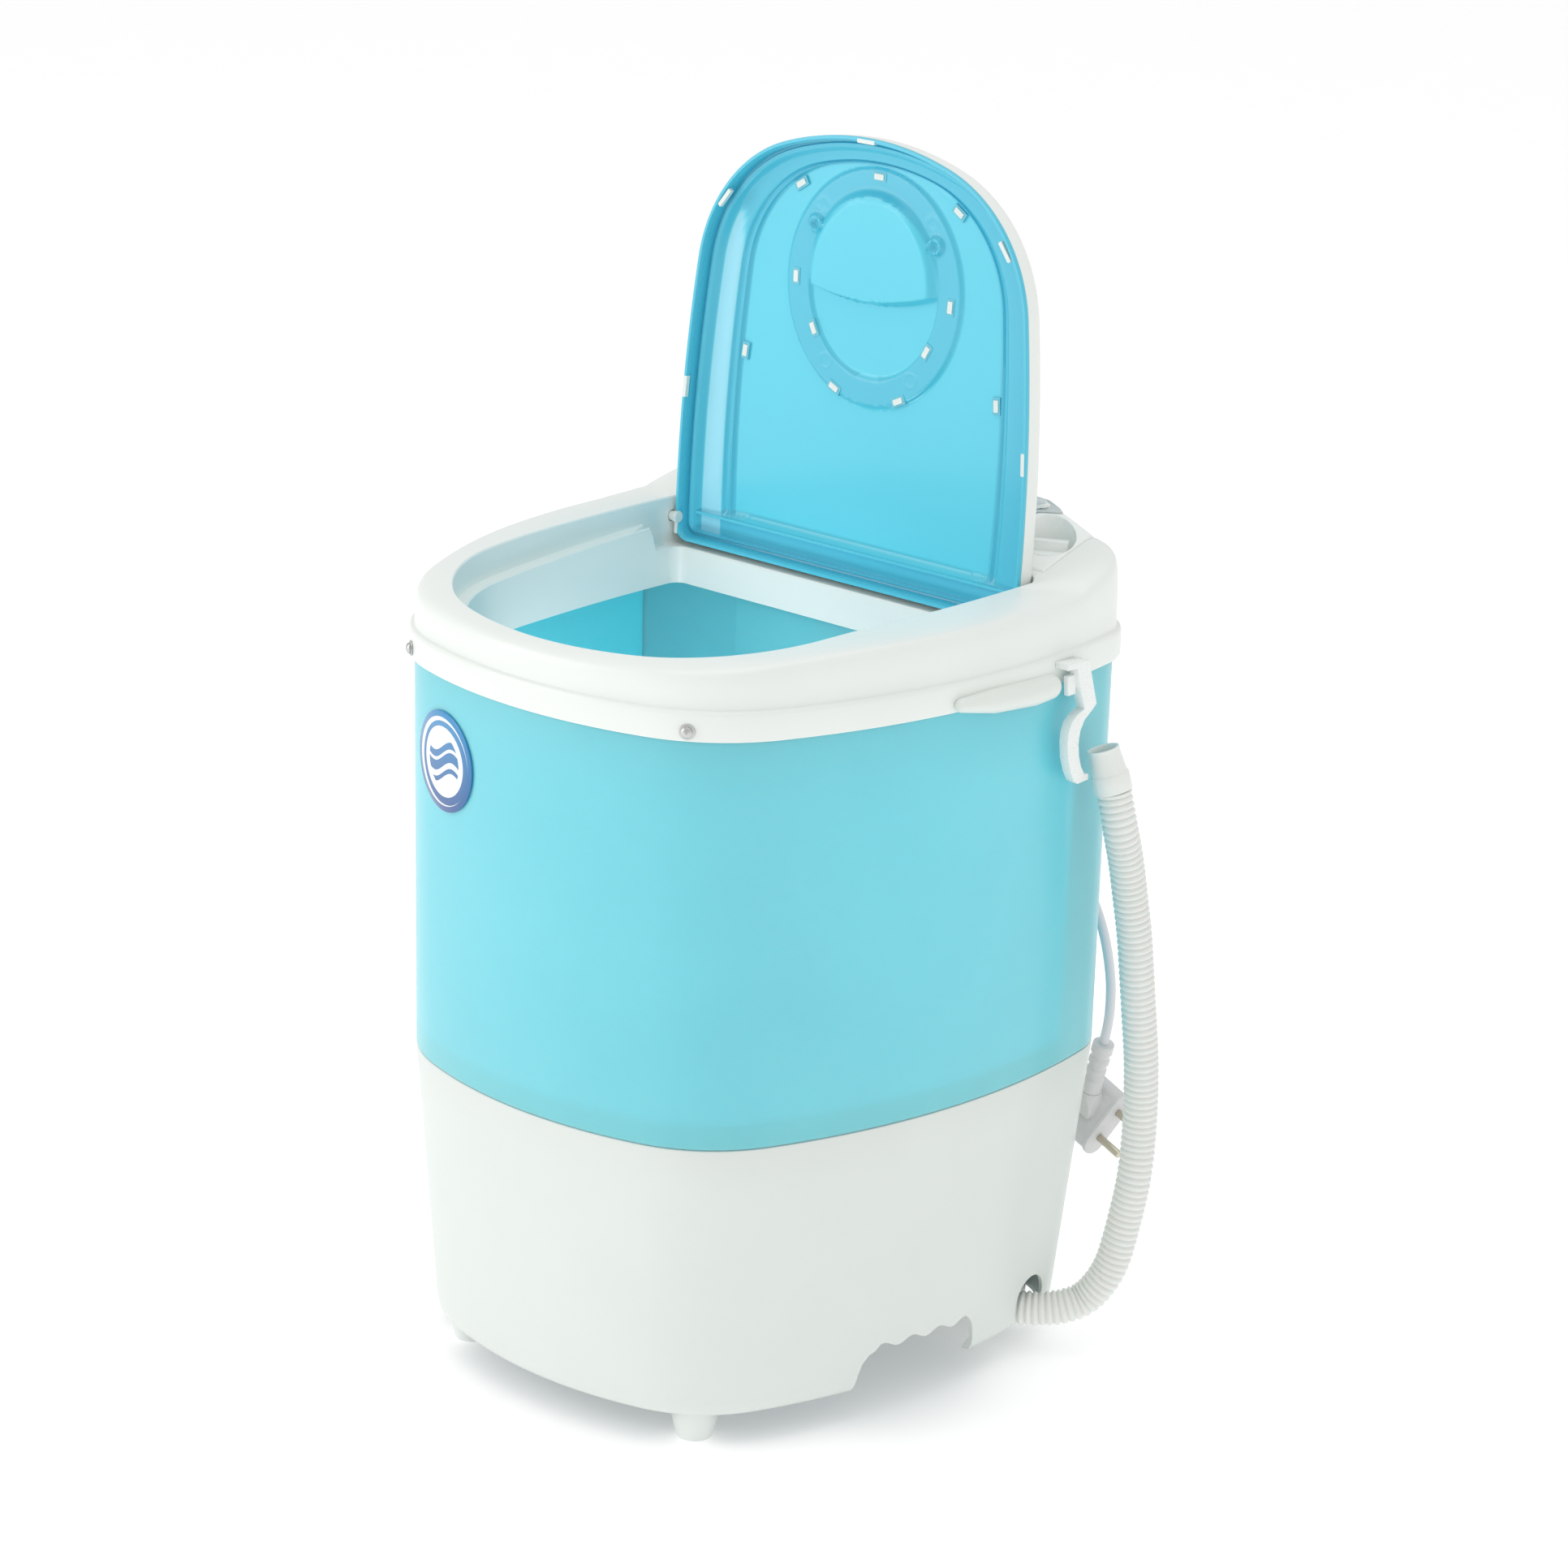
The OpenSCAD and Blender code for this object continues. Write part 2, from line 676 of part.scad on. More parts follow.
module pulsator() {
  color(BLUE)
    at_drive(0) difference() {
      union() {
        translate([0, 0, 207]) cylinder(r = pulsator_r, h = 4);
        translate([0, 0, 210]) cylinder(r1 = pulsator_r - 3, r2 = 24, h = 6);
        translate([0, 0, 209]) cylinder(r = 15, h = 15);
        for (a = [0:72:288])
          rotate(a) translate([12, -3, 209]) cube([pulsator_r - 20, 6, 11]);
      }
      translate([0, 0, 200]) cylinder(r = 5.01, h = 14);
      translate([0, 0, 200]) cylinder(r = 2.6, h = 40);
      translate([0, 0, 221]) cylinder(r = 7.2, h = 20);
      for (a = [36:72:324])
        rotate(a) for (r = [34, 48])
          translate([r, 0, 200]) cylinder(r = 3, h = 30);
    }
}

module pulsator_screw() {
  color(STEEL)
    at_drive(0) difference() {
      union() {
        translate([0, 0, 221]) cylinder(r = 6.8, h = 3);
        translate([0, 0, 204]) cylinder(r = 2.5, h = 17.5);
      }
      translate([-6, -0.8, 223]) cube([12, 1.6, 3]);
    }
}

module drive_shaft() {
  color(STEEL)
    at_drive(0) difference() {
      union() {
        translate([0, 0, 122.4]) cylinder(r = 5, h = 91.6);
        translate([0, 0, 112]) cylinder(r = 4, h = 11);
      }
      translate([0, 0, 202]) cylinder(r = 2.55, h = 20);
    }
}

module pulley_profile(r, z) {
  polygon([[0, z - 5], [r + 5, z - 5], [r + 5, z - 4], [r, z - 1.6], [r, z + 1.6], [r + 5, z + 4],
    [r + 5, z + 5], [0, z + 5]]);
}

module large_pulley() {
  color([0.3, 0.3, 0.32])
    at_drive(0) difference() {
      rotate_extrude($fn = 96) pulley_profile(big_groove_r, belt_z);
      translate([0, 0, belt_z - 8]) cylinder(r = 5.01, h = 20);
      for (a = [0:60:300])
        rotate(a) translate([29, 0, belt_z - 8]) cylinder(r = 10, h = 20);
    }
}

module pulley_nut() {
  color(STEEL)
    at_drive(115.5) difference() {
      cylinder(r = 7.5, h = 6.4, $fn = 6);
      translate([0, 0, -1]) cylinder(r = 4.03, h = 10);
    }
}

module bearing_housing() {
  color(STEEL)
    at_drive(0) difference() {
      union() {
        translate([0, 0, 150]) cylinder(r = 10.2, h = 55.4);
        translate([0, 0, 198.4]) cylinder(r = 30, h = 3.4);
      }
      translate([0, 0, 149]) cylinder(r = 8, h = 60);
      for (a = [30, 150, 270])
        rotate(a) translate([24, 0, 190]) cylinder(r = 2.2, h = 20);
    }
}

module housing_screws() {
  color(STEEL)
    for (a = [30, 150, 270])
      at_drive(0) rotate(a) translate([24, 0, 0]) {
        translate([0, 0, 195.4]) cylinder(r = 3.8, h = 2.9);
        translate([0, 0, 198]) cylinder(r = 2, h = 5.6);
      }
}

module bush() {
  at_drive(0) tube(7.96, 5.04, 14);
}

module upper_bush() {
  color([0.75, 0.6, 0.35]) translate([0, 0, 186]) bush();
}

module lower_bush() {
  color([0.75, 0.6, 0.35]) translate([0, 0, 152]) bush();
}

module shaft_seal() {
  color(DARK) at_drive(200.4) tube(7.9, 5.3, 4.8);
}

module belt_loop(r) {
  hull() {
    translate(drive) circle(r = big_groove_r + r, $fn = 96);
    translate(motor) circle(r = small_groove_r + r, $fn = 48);
  }
}

module drive_belt() {
  color(DARK)
    translate([0, 0, belt_z - 1.8]) linear_extrude(3.6) difference() {
      belt_loop(3.7);
      belt_loop(0.9);
    }
}

module motor_body() {
  color([0.5, 0.52, 0.55])
    at_motor(0) difference() {
      union() {
        translate([0, 0, 138]) cylinder(r = 40, h = 48);
        translate([0, 0, 134]) cylinder(r = 14, h = 5);
        translate([-45, -45, 185.4]) cube([90, 90, 3.4]);
      }
      translate([0, 0, 130]) cylinder(r = 4.04, h = 40);
      for (x = [-38, 38], y = [-38, 38])
        translate([x, y, 180]) cylinder(r = 2.3, h = 20);
      // cooling slots of the can
      for (a = [0:30:330])
        rotate(a) translate([37, -3, 146]) cube([6, 6, 26]);
    }
}

module motor_bracket() {
  color(STEEL)
    at_motor(0) difference() {
      translate([-50, -50, 189]) cube([100, 100, 2.8]);
      translate([0, 0, 180]) cylinder(r = 26, h = 20);
      for (x = [-38, 38], y = [-38, 38])
        translate([x, y, 180]) cylinder(r = 2.3, h = 20);
    }
}

module motor_bolts() {
  color(STEEL)
    for (x = [-38, 38], y = [-38, 38])
      at_motor(0) translate([x, y, 0]) {
        translate([0, 0, 182]) cylinder(r = 4, h = 3.2, $fn = 6);
        translate([0, 0, 185]) cylinder(r = 2, h = 15);
      }
}

module motor_shaft() {
  color(STEEL) at_motor(120) cylinder(r = 4, h = 48);
}

module motor_pulley() {
  color([0.3, 0.3, 0.32])
    at_motor(0) difference() {
      rotate_extrude($fn = 64) pulley_profile(small_groove_r, belt_z);
      translate([0, 0, belt_z - 8]) cylinder(r = 4.01, h = 20);
    }
}

module capacitor() {
  color([0.85, 0.85, 0.82]) translate([72, 64, 142]) cylinder(r = 15, h = 52);
}

module capacitor_clip() {
  color(STEEL)
    difference() {
      union() {
        translate([72, 64, 166]) tube(16.6, 15.1, 12);
        translate([66, 35, 187]) cube([12, 14, 2.6]);
        translate([66, 46.2, 168]) cube([12, 2.4, 20]);
      }
      translate([72, 40, 180]) cylinder(r = 1.9, h = 20);
    }
}

module capacitor_screw() {
  color(STEEL)
    translate([72, 40, 0]) {
      translate([0, 0, 184.2]) cylinder(r = 3.4, h = 2.7);
      translate([0, 0, 186]) cylinder(r = 1.5, h = 12);
    }
}

module terminal_block() {
  color([0.9, 0.9, 0.86])
    difference() {
      translate([52, 122, 66]) cube([44, 18, 30]);
      for (x = [60:12:84])
        translate([x, 130, 80]) cylinder(r = 3, h = 20);
    }
}

module wiring() {
  color(DARK) sweep(smooth(wiring_route, 3), 2.5, 8);
}

// ---------- drain ----------

module drain_grid() {
  color(WHITE)
    translate([drain_at[0], drain_at[1], 0]) difference() {
      union() {
        translate([0, 0, 205.7]) cylinder(r = 13, h = 2);
        translate([0, 0, 203]) cylinder(r = 9.2, h = 3);
      }
      for (a = [0:60:300])
        rotate(a) translate([5.4, 0, 200]) cylinder(r = 1.8, h = 10);
    }
}

module drain_pipe() {
  color(WHITE)
    translate([drain_at[0], drain_at[1], 0]) difference() {
      union() {
        translate([0, 0, 22]) cylinder(r = 9, h = 180.4);
        translate([0, 0, 196]) cylinder(r = 14, h = 5.8);
        translate([0, 2, 29]) rotate([0, 90, 0]) cylinder(r = 8, h = 30);
      }
      translate([0, 0, 29]) cylinder(r = 7, h = 180);
      translate([0, 2, 29]) rotate([0, 90, 0]) cylinder(r = 5.6, h = 40);
    }
}

module hose_clamp() {
  color(STEEL)
    translate([122, drain_at[1] + 2, 29]) rotate([0, 90, 0]) {
      tube(hose_d / 2 + 1.6, hose_d / 2 + 0.4, 8);
      translate([-hose_d / 2 - 6, -4, 1]) cube([5, 8, 6]);
    }
}

module drain_hose() {
  color(WHITE, 0.9)
    difference() {
      sweep(smooth(hose_route, 2), hose_d / 2, 12);
      translate([100, drain_at[1] + 2, 29]) rotate([0, 90, 0]) cylinder(r = 8.1, h = 36);
    }
}

// Smooth end of the hose, leaning back into the hook
module hose_cuff() {
  color(WHITE)
    translate([193.5, 112, 361.2]) rotate([7.5, -15.2, 0]) rotate_extrude()
      polygon([[7.4, 0.3], [11, 0.3], [11.3, 5], [11.3, 10.5], [10.5, 11.5], [10.3, 13.5], [9.3, 24.5],
        [9.6, 26.5], [8.4, 26.5], [8, 24.5], [8.8, 13.5], [8.8, 4]]);
}

// Hook hung over the lip; its crook holds the end of the hose
module hose_hook() {
  color(WHITE)
    translate([182.5, 0, 0]) rotate([90, 0, 90]) {
      translate([0, 0, -3]) linear_extrude(9)
        polygon([[70, 444.5], [70, 441], [79, 440.5], [90, 439.5], [90, 443.5]]);
      linear_extrude(6) {
        polygon([[79, 441], [90, 442], [92, 435], [98, 416], [93, 412], [87, 415], [81.5, 431]]);
        polygon([[88, 415.5], [81, 413], [75.5, 409], [73.2, 403], [72.8, 397.5], [74, 388], [77, 379.5],
          [81, 372.7], [84, 371], [93.4, 371.5], [93.4, 375], [90, 375.2], [86.5, 380.5], [84, 387.5],
          [83, 395], [84, 402.5], [87.5, 408.5], [93.5, 412.5]]);
      }
      linear_extrude(3) polygon([[74, 436], [82, 436], [82, 424.5], [75.2, 424.5]]);
    }
}

// ---------- feet ----------

module feet() {
  color([0.88, 0.9, 0.88])
    for (p = feet_at)
      translate([p[0], p[1], 0]) difference() {
        union() {
          cylinder(r1 = 10.5, r2 = 13.5, h = 12);
          translate([0, 0, 12]) cylinder(r = 13.5, h = 13.8);
        }
        translate([0, 0, -1]) cylinder(r = 5.2, h = 9);
        translate([0, 0, -1]) cylinder(r = 2.2, h = 30);
      }
}

module foot_screws() {
  color(STEEL)
    for (p = feet_at)
      translate([p[0], p[1], 0]) {
        translate([0, 0, 4.8]) cylinder(r = 4.4, h = 3);
        translate([0, 0, 7.6]) cylinder(r = 2, h = 30);
      }
}

// ---------- mains lead ----------

// Saddle on the back that the cord hangs over
module cord_hook() {
  color(WHITE)
    translate([113, 0, 257.5]) rotate([-90, 0, 0]) {
      translate([0, 0, 163.8]) cylinder(r = 17, h = 15);
      translate([0, 0, 176.2]) cylinder(r = 21.5, h = 2.8);
    }
}

// Gland in the base's rear wall, tapering onto the cord
module cord_gland() {
  color([0.9, 0.91, 0.9])
    translate([40, 0, 60]) rotate([-90, 0, 0]) difference() {
      union() {
        translate([0, 0, 138]) cylinder(r = 6.4, h = 16);
        translate([0, 0, 152]) cylinder(r = 9, h = 3);
        translate([0, 0, 154.8]) cylinder(r1 = 6.5, r2 = 4.2, h = 27.1);
      }
      translate([0, 0, 130]) cylinder(r = cord_d / 2, h = 40);
    }
}

module mains_cord_in() {
  color([0.92, 0.92, 0.93]) sweep(smooth(cord_in_route, 2), cord_d / 2, 8);
}

module mains_cord_out() {
  color([0.92, 0.92, 0.93]) sweep(smooth(cord_out_route, 2), cord_d / 2, 8);
}

module cord_coil() {
  color([0.92, 0.92, 0.93])
    translate([coil_at[0], coil_at[1], 0]) rotate_extrude($fn = 96)
      translate([coil_r - cord_d, 0.2]) square([2 * cord_d, coil_h]);
}

module coil_tie() {
  color(DARK)
    translate([coil_at[0] - coil_r, coil_at[1], 0]) difference() {
      translate([-cord_d - 1.4, -3, 0.1]) cube([2 * cord_d + 2.8, 6, coil_h + 1.2]);
      translate([-cord_d - 0.4, -5, -1]) cube([2 * cord_d + 0.8, 10, coil_h + 1.4]);
    }
}

module at_plug() {
  translate(plug_at) rotate(plug_turn) children();
}

// Contact face of the plug: x points out along the pins, z runs from pin to pin
module at_face() {
  at_plug() translate(face_at) rotate(face_turn) children();
}

module plug_relief() {
  color([0.9, 0.9, 0.91])
    at_plug() rotate_extrude()
      polygon([[0, 0], [6.6, 0], [6.8, -6], [5.4, -8], [5.4, -9.5], [6.4, -11], [6.4, -14], [5.2, -15.5],
        [5.2, -17], [6.2, -18.5], [6.2, -21.5], [5.1, -23], [5.1, -24.5], [6.2, -26], [6.6, -34.9],
        [0, -34.9]]);
}

module plug_body() {
  color([0.9, 0.9, 0.91]) {
    at_face() hull()
      for (z = [-14, 14])
        translate([-25, 0, z]) rotate([0, 90, 0]) cylinder(r = 7, h = 24, $fn = 32);
    at_face() hull()
      for (z = [-14, 14])
        translate([-2.5, 0, z]) rotate([0, 90, 0]) cylinder(r = 8, h = 2.5, $fn = 32);
    at_plug() hull() {
      translate([0, 0, -38]) cylinder(r = 7, h = 3, $fn = 32);
      translate([-5, -6, -50]) cube([14, 12, 4]);
    }
  }
}

module plug_pins() {
  color(STEEL)
    at_face()
      for (z = [-9.5, 9.5])
        translate([0.1, 0, z]) rotate([0, 90, 0]) cylinder(r = 2.4, h = 19);
}

base_skirt();
wash_tub();
top_frame();
side_grips();
frame_screws();
screw_washers();
hinge_bushes();
lid_cover();
lid_panel();
handle_ring();
control_panel();
emblem_plate();
emblem_cap();
timer_knob();
timer_shaft();
timer_body();
water_inlet();
inlet_chute();
badge();
pulsator();
pulsator_screw();
drive_shaft();
large_pulley();
pulley_nut();
bearing_housing();
housing_screws();
upper_bush();
lower_bush();
shaft_seal();
drive_belt();
motor_body();
motor_bracket();
motor_bolts();
motor_shaft();
motor_pulley();
capacitor();
capacitor_clip();
capacitor_screw();
terminal_block();
wiring();
drain_grid();
drain_pipe();
hose_clamp();
drain_hose();
hose_cuff();
hose_hook();
feet();
foot_screws();
cord_hook();
cord_gland();
mains_cord_in();
cord_coil();
coil_tie();
mains_cord_out();
plug_relief();
plug_body();
plug_pins();
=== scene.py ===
"""Compact top load washing machine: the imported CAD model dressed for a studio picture."""
import json
import math

import bmesh
import bpy
import numpy as np
from mathutils import Matrix, Vector

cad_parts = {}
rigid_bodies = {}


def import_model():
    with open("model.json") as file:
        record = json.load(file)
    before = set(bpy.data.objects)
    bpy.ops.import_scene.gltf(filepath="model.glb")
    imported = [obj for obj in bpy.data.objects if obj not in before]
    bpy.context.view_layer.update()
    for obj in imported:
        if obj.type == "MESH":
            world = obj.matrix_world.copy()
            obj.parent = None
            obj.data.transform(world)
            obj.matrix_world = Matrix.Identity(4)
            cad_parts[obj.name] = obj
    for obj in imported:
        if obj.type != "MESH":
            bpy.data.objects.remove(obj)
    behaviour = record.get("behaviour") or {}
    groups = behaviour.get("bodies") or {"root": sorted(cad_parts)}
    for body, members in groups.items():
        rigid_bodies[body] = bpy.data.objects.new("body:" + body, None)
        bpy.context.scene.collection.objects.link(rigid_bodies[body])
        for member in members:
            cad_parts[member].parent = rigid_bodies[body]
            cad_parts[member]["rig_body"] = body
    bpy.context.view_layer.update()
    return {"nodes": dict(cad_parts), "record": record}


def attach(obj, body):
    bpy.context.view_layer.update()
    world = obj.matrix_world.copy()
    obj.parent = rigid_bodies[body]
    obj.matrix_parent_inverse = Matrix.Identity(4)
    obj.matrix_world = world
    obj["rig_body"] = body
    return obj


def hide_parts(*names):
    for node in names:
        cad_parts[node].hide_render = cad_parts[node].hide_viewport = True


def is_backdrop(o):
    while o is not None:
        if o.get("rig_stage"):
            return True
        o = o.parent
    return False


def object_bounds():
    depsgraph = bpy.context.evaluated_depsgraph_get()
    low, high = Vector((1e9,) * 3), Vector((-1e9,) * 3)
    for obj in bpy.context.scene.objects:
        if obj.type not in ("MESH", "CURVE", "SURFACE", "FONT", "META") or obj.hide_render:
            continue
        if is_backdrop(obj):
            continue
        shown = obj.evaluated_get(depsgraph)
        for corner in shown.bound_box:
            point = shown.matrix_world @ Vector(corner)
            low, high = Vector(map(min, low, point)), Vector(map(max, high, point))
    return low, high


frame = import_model()
MM = 0.001

# ---------- camera and light ----------

AZIMUTH = math.radians(41.68)
ELEVATION = math.radians(18.35)
ROLL = math.radians(1.51)
TARGET = Vector((0.0359, 0.0039, 0.3525))
DISTANCE = 2.4988
LENS = 98.9

toward = Vector((
    math.sin(AZIMUTH) * math.cos(ELEVATION),
    -math.cos(AZIMUTH) * math.cos(ELEVATION),
    math.sin(ELEVATION),
))
right = Vector((math.cos(AZIMUTH), math.sin(AZIMUTH), 0))
up = toward.cross(right)
camera = bpy.data.objects.new("camera", bpy.data.cameras.new("camera"))
camera.data.lens = LENS
camera.data.sensor_width = 36
rolled_right = right * math.cos(ROLL) + up * math.sin(ROLL)
rolled_up = up * math.cos(ROLL) - right * math.sin(ROLL)
axes = Matrix((rolled_right, rolled_up, toward))
camera.matrix_world = Matrix.Translation(TARGET + toward * DISTANCE) @ axes.transposed().to_4x4()
bpy.context.scene.collection.objects.link(camera)
bpy.context.scene.camera = camera


def softbox(name, at, aim, size, power, seen=True):
    data = bpy.data.lights.new(name, "AREA")
    data.shape = "RECTANGLE"
    data.size, data.size_y = size
    data.energy = power
    lamp = bpy.data.objects.new(name, data)
    lamp.location = at
    lamp.rotation_euler = (Vector(aim) - Vector(at)).to_track_quat("-Z", "Y").to_euler()
    lamp.visible_camera = seen
    bpy.context.scene.collection.objects.link(lamp)


softbox("key_left", (-1.7, -2.2, 1.3), (0, 0, 0.35), (1.6, 2.0), 19)
softbox("fill_right", (2.4, -0.6, 1.0), (0, 0, 0.35), (1.2, 1.6), 1.5)
softbox("top", (0.2, 0.1, 2.6), (0, 0, 0.3), (2.0, 2.0), 11)
softbox("inside", (-0.05, -0.1, 0.34), (-0.04, 0.2, 0.4), (0.1, 0.05), 0.2, False)
world = bpy.data.worlds.new("studio")
world.use_nodes = True
sky = world.node_tree
sky.nodes["Background"].inputs["Color"].default_value = (1, 1, 1, 1)
sky.nodes["Background"].inputs["Strength"].default_value = 0.72
backdrop = sky.nodes.new("ShaderNodeBackground")
backdrop.inputs["Color"].default_value = (1, 1, 1, 1)
seen = sky.nodes.new("ShaderNodeLightPath")
blend_sky = sky.nodes.new("ShaderNodeMixShader")
sky.links.new(seen.outputs["Is Camera Ray"], blend_sky.inputs["Fac"])
sky.links.new(sky.nodes["Background"].outputs["Background"], blend_sky.inputs[1])
sky.links.new(backdrop.outputs["Background"], blend_sky.inputs[2])
sky.links.new(blend_sky.outputs["Shader"], sky.nodes["World Output"].inputs["Surface"])
bpy.context.scene.world = world
bpy.context.scene.view_settings.view_transform = "Standard"

# ---------- materials ----------


def plastic(name, colour, rough, grain=900, bump=0.06, mottle=0.03, coat=0.0, metal=0.0, soft=0.0,
            streak=1.0):
    """Moulded or metal surface: fine grain in the bump and the gloss, slow drift in the colour."""
    m = bpy.data.materials.new(name)
    m.use_nodes = True
    t = m.node_tree
    shader = t.nodes["Principled BSDF"]
    place = t.nodes.new("ShaderNodeTexCoord")
    stretch = t.nodes.new("ShaderNodeMapping")
    stretch.inputs["Scale"].default_value = (1, 1, streak)
    t.links.new(place.outputs["Object"], stretch.inputs["Vector"])
    drift = t.nodes.new("ShaderNodeTexNoise")
    drift.inputs["Scale"].default_value = 14
    drift.inputs["Detail"].default_value = 4
    fine = t.nodes.new("ShaderNodeTexNoise")
    fine.inputs["Scale"].default_value = grain
    fine.inputs["Detail"].default_value = 3
    for n in (drift, fine):
        t.links.new(stretch.outputs["Vector"], n.inputs["Vector"])
    tint = t.nodes.new("ShaderNodeValToRGB")
    tint.color_ramp.elements[0].position = 0.3
    tint.color_ramp.elements[1].position = 0.7
    tint.color_ramp.elements[0].color = [c * (1 - mottle) for c in colour] + [1]
    tint.color_ramp.elements[1].color = [min(1, c * (1 + mottle)) for c in colour] + [1]
    t.links.new(drift.outputs["Fac"], tint.inputs["Fac"])
    t.links.new(tint.outputs["Color"], shader.inputs["Base Color"])
    gloss = t.nodes.new("ShaderNodeMapRange")
    gloss.inputs["To Min"].default_value = rough * 0.85
    gloss.inputs["To Max"].default_value = min(1, rough * 1.15)
    t.links.new(fine.outputs["Fac"], gloss.inputs["Value"])
    t.links.new(gloss.outputs["Result"], shader.inputs["Roughness"])
    relief = t.nodes.new("ShaderNodeBump")
    relief.inputs["Strength"].default_value = bump
    relief.inputs["Distance"].default_value = 0.0004
    t.links.new(fine.outputs["Fac"], relief.inputs["Height"])
    t.links.new(relief.outputs["Normal"], shader.inputs["Normal"])
    shader.inputs["Metallic"].default_value = metal
    shader.inputs["Coat Weight"].default_value = coat
    shader.inputs["Coat Roughness"].default_value = 0.12
    if soft:
        shader.inputs["Subsurface Weight"].default_value = soft
        shader.inputs["Subsurface Radius"].default_value = (0.5, 0.9, 1.0)
        shader.inputs["Subsurface Scale"].default_value = 0.012
    return m


LOOKS = {
    "white": plastic("white_plastic", (0.80, 0.84, 0.80), 0.38, mottle=0.012, coat=0.15),
    "white_top": plastic("white_top", (0.86, 0.895, 0.86), 0.36, mottle=0.01, coat=0.18),
    # Darker copy of the white plastic for the base: painted shade that offsets the light bounced up from the
    # bright floor.
    "white_base_painted_shade": plastic("white_base_painted_shade", (0.75, 0.79, 0.755), 0.4, mottle=0.012, coat=0.12),
    "blue_tub": plastic("blue_tub", (0.19, 0.655, 0.765), 0.34, mottle=0.02, coat=0.25, soft=0.7),
    "blue_lid": plastic("blue_lid", (0.11, 0.60, 0.76), 0.28,
        grain=1400, bump=0.012, mottle=0.015, coat=0.35),
    "ring_white": plastic("ring_white", (0.80, 0.87, 0.87), 0.3, mottle=0.01, coat=0.3),
    "deck_white": plastic("deck_white", (0.88, 0.91, 0.885), 0.34, mottle=0.01, coat=0.2),
    "grey_trim": plastic("grey_trim", (0.64, 0.69, 0.69), 0.4, mottle=0.02),
    "cap_grey": plastic("cap_grey", (0.66, 0.70, 0.71), 0.3, grain=1600, mottle=0.02, coat=0.3),
    "blue_part": plastic("blue_part", (0.13, 0.55, 0.68), 0.34, mottle=0.02, coat=0.2),
    "inner_cream": plastic("inner_cream", (0.74, 0.71, 0.60), 0.5, mottle=0.03),
    "screw_steel": plastic("screw_steel", (0.58, 0.58, 0.57), 0.32, grain=2500, bump=0.1, metal=1.0),
    "shaft_steel": plastic("shaft_steel", (0.62, 0.63, 0.64), 0.26,
        grain=1800, bump=0.12, metal=1.0, streak=0.05),
    "bracket_steel": plastic("bracket_steel", (0.55, 0.57, 0.59), 0.4,
        grain=160, bump=0.05, mottle=0.12, metal=1.0),
    "cast_alloy": plastic("cast_alloy", (0.60, 0.61, 0.62), 0.5, grain=1200, bump=0.3, metal=1.0),
    "bush_brass": plastic("bush_brass", (0.66, 0.46, 0.22), 0.42, grain=2200, bump=0.2, metal=1.0),
    "seal_rubber": plastic("seal_rubber", (0.03, 0.03, 0.03), 0.6, grain=1400, bump=0.2),
    "belt_rubber": plastic("belt_rubber", (0.025, 0.025, 0.025), 0.7, grain=700, bump=0.4),
    "pulley_grey": plastic("pulley_grey", (0.12, 0.125, 0.135), 0.5, grain=900, bump=0.15),
    "motor_paint": plastic("motor_paint", (0.06, 0.075, 0.10), 0.35, grain=350, bump=0.12, coat=0.3),
    "wire_black": plastic("wire_black", (0.03, 0.03, 0.035), 0.45, grain=900, bump=0.1),
    "hose_white": plastic("hose_white", (0.86, 0.91, 0.87), 0.34, mottle=0.015, coat=0.15, soft=0.25),
    "hook_white": plastic("hook_white", (0.87, 0.91, 0.89), 0.28, mottle=0.01, coat=0.35),
    "foot_white": plastic("foot_white", (0.80, 0.84, 0.81), 0.4, mottle=0.02),
    "cord_grey": plastic("cord_grey", (0.74, 0.75, 0.78), 0.42, mottle=0.015),
    "plug_grey": plastic("plug_grey", (0.70, 0.70, 0.70), 0.4, grain=1500, bump=0.12, mottle=0.02),
    "pin_nickel": plastic("pin_nickel", (0.62, 0.57, 0.46), 0.3, grain=2200, bump=0.1, metal=1.0),
}


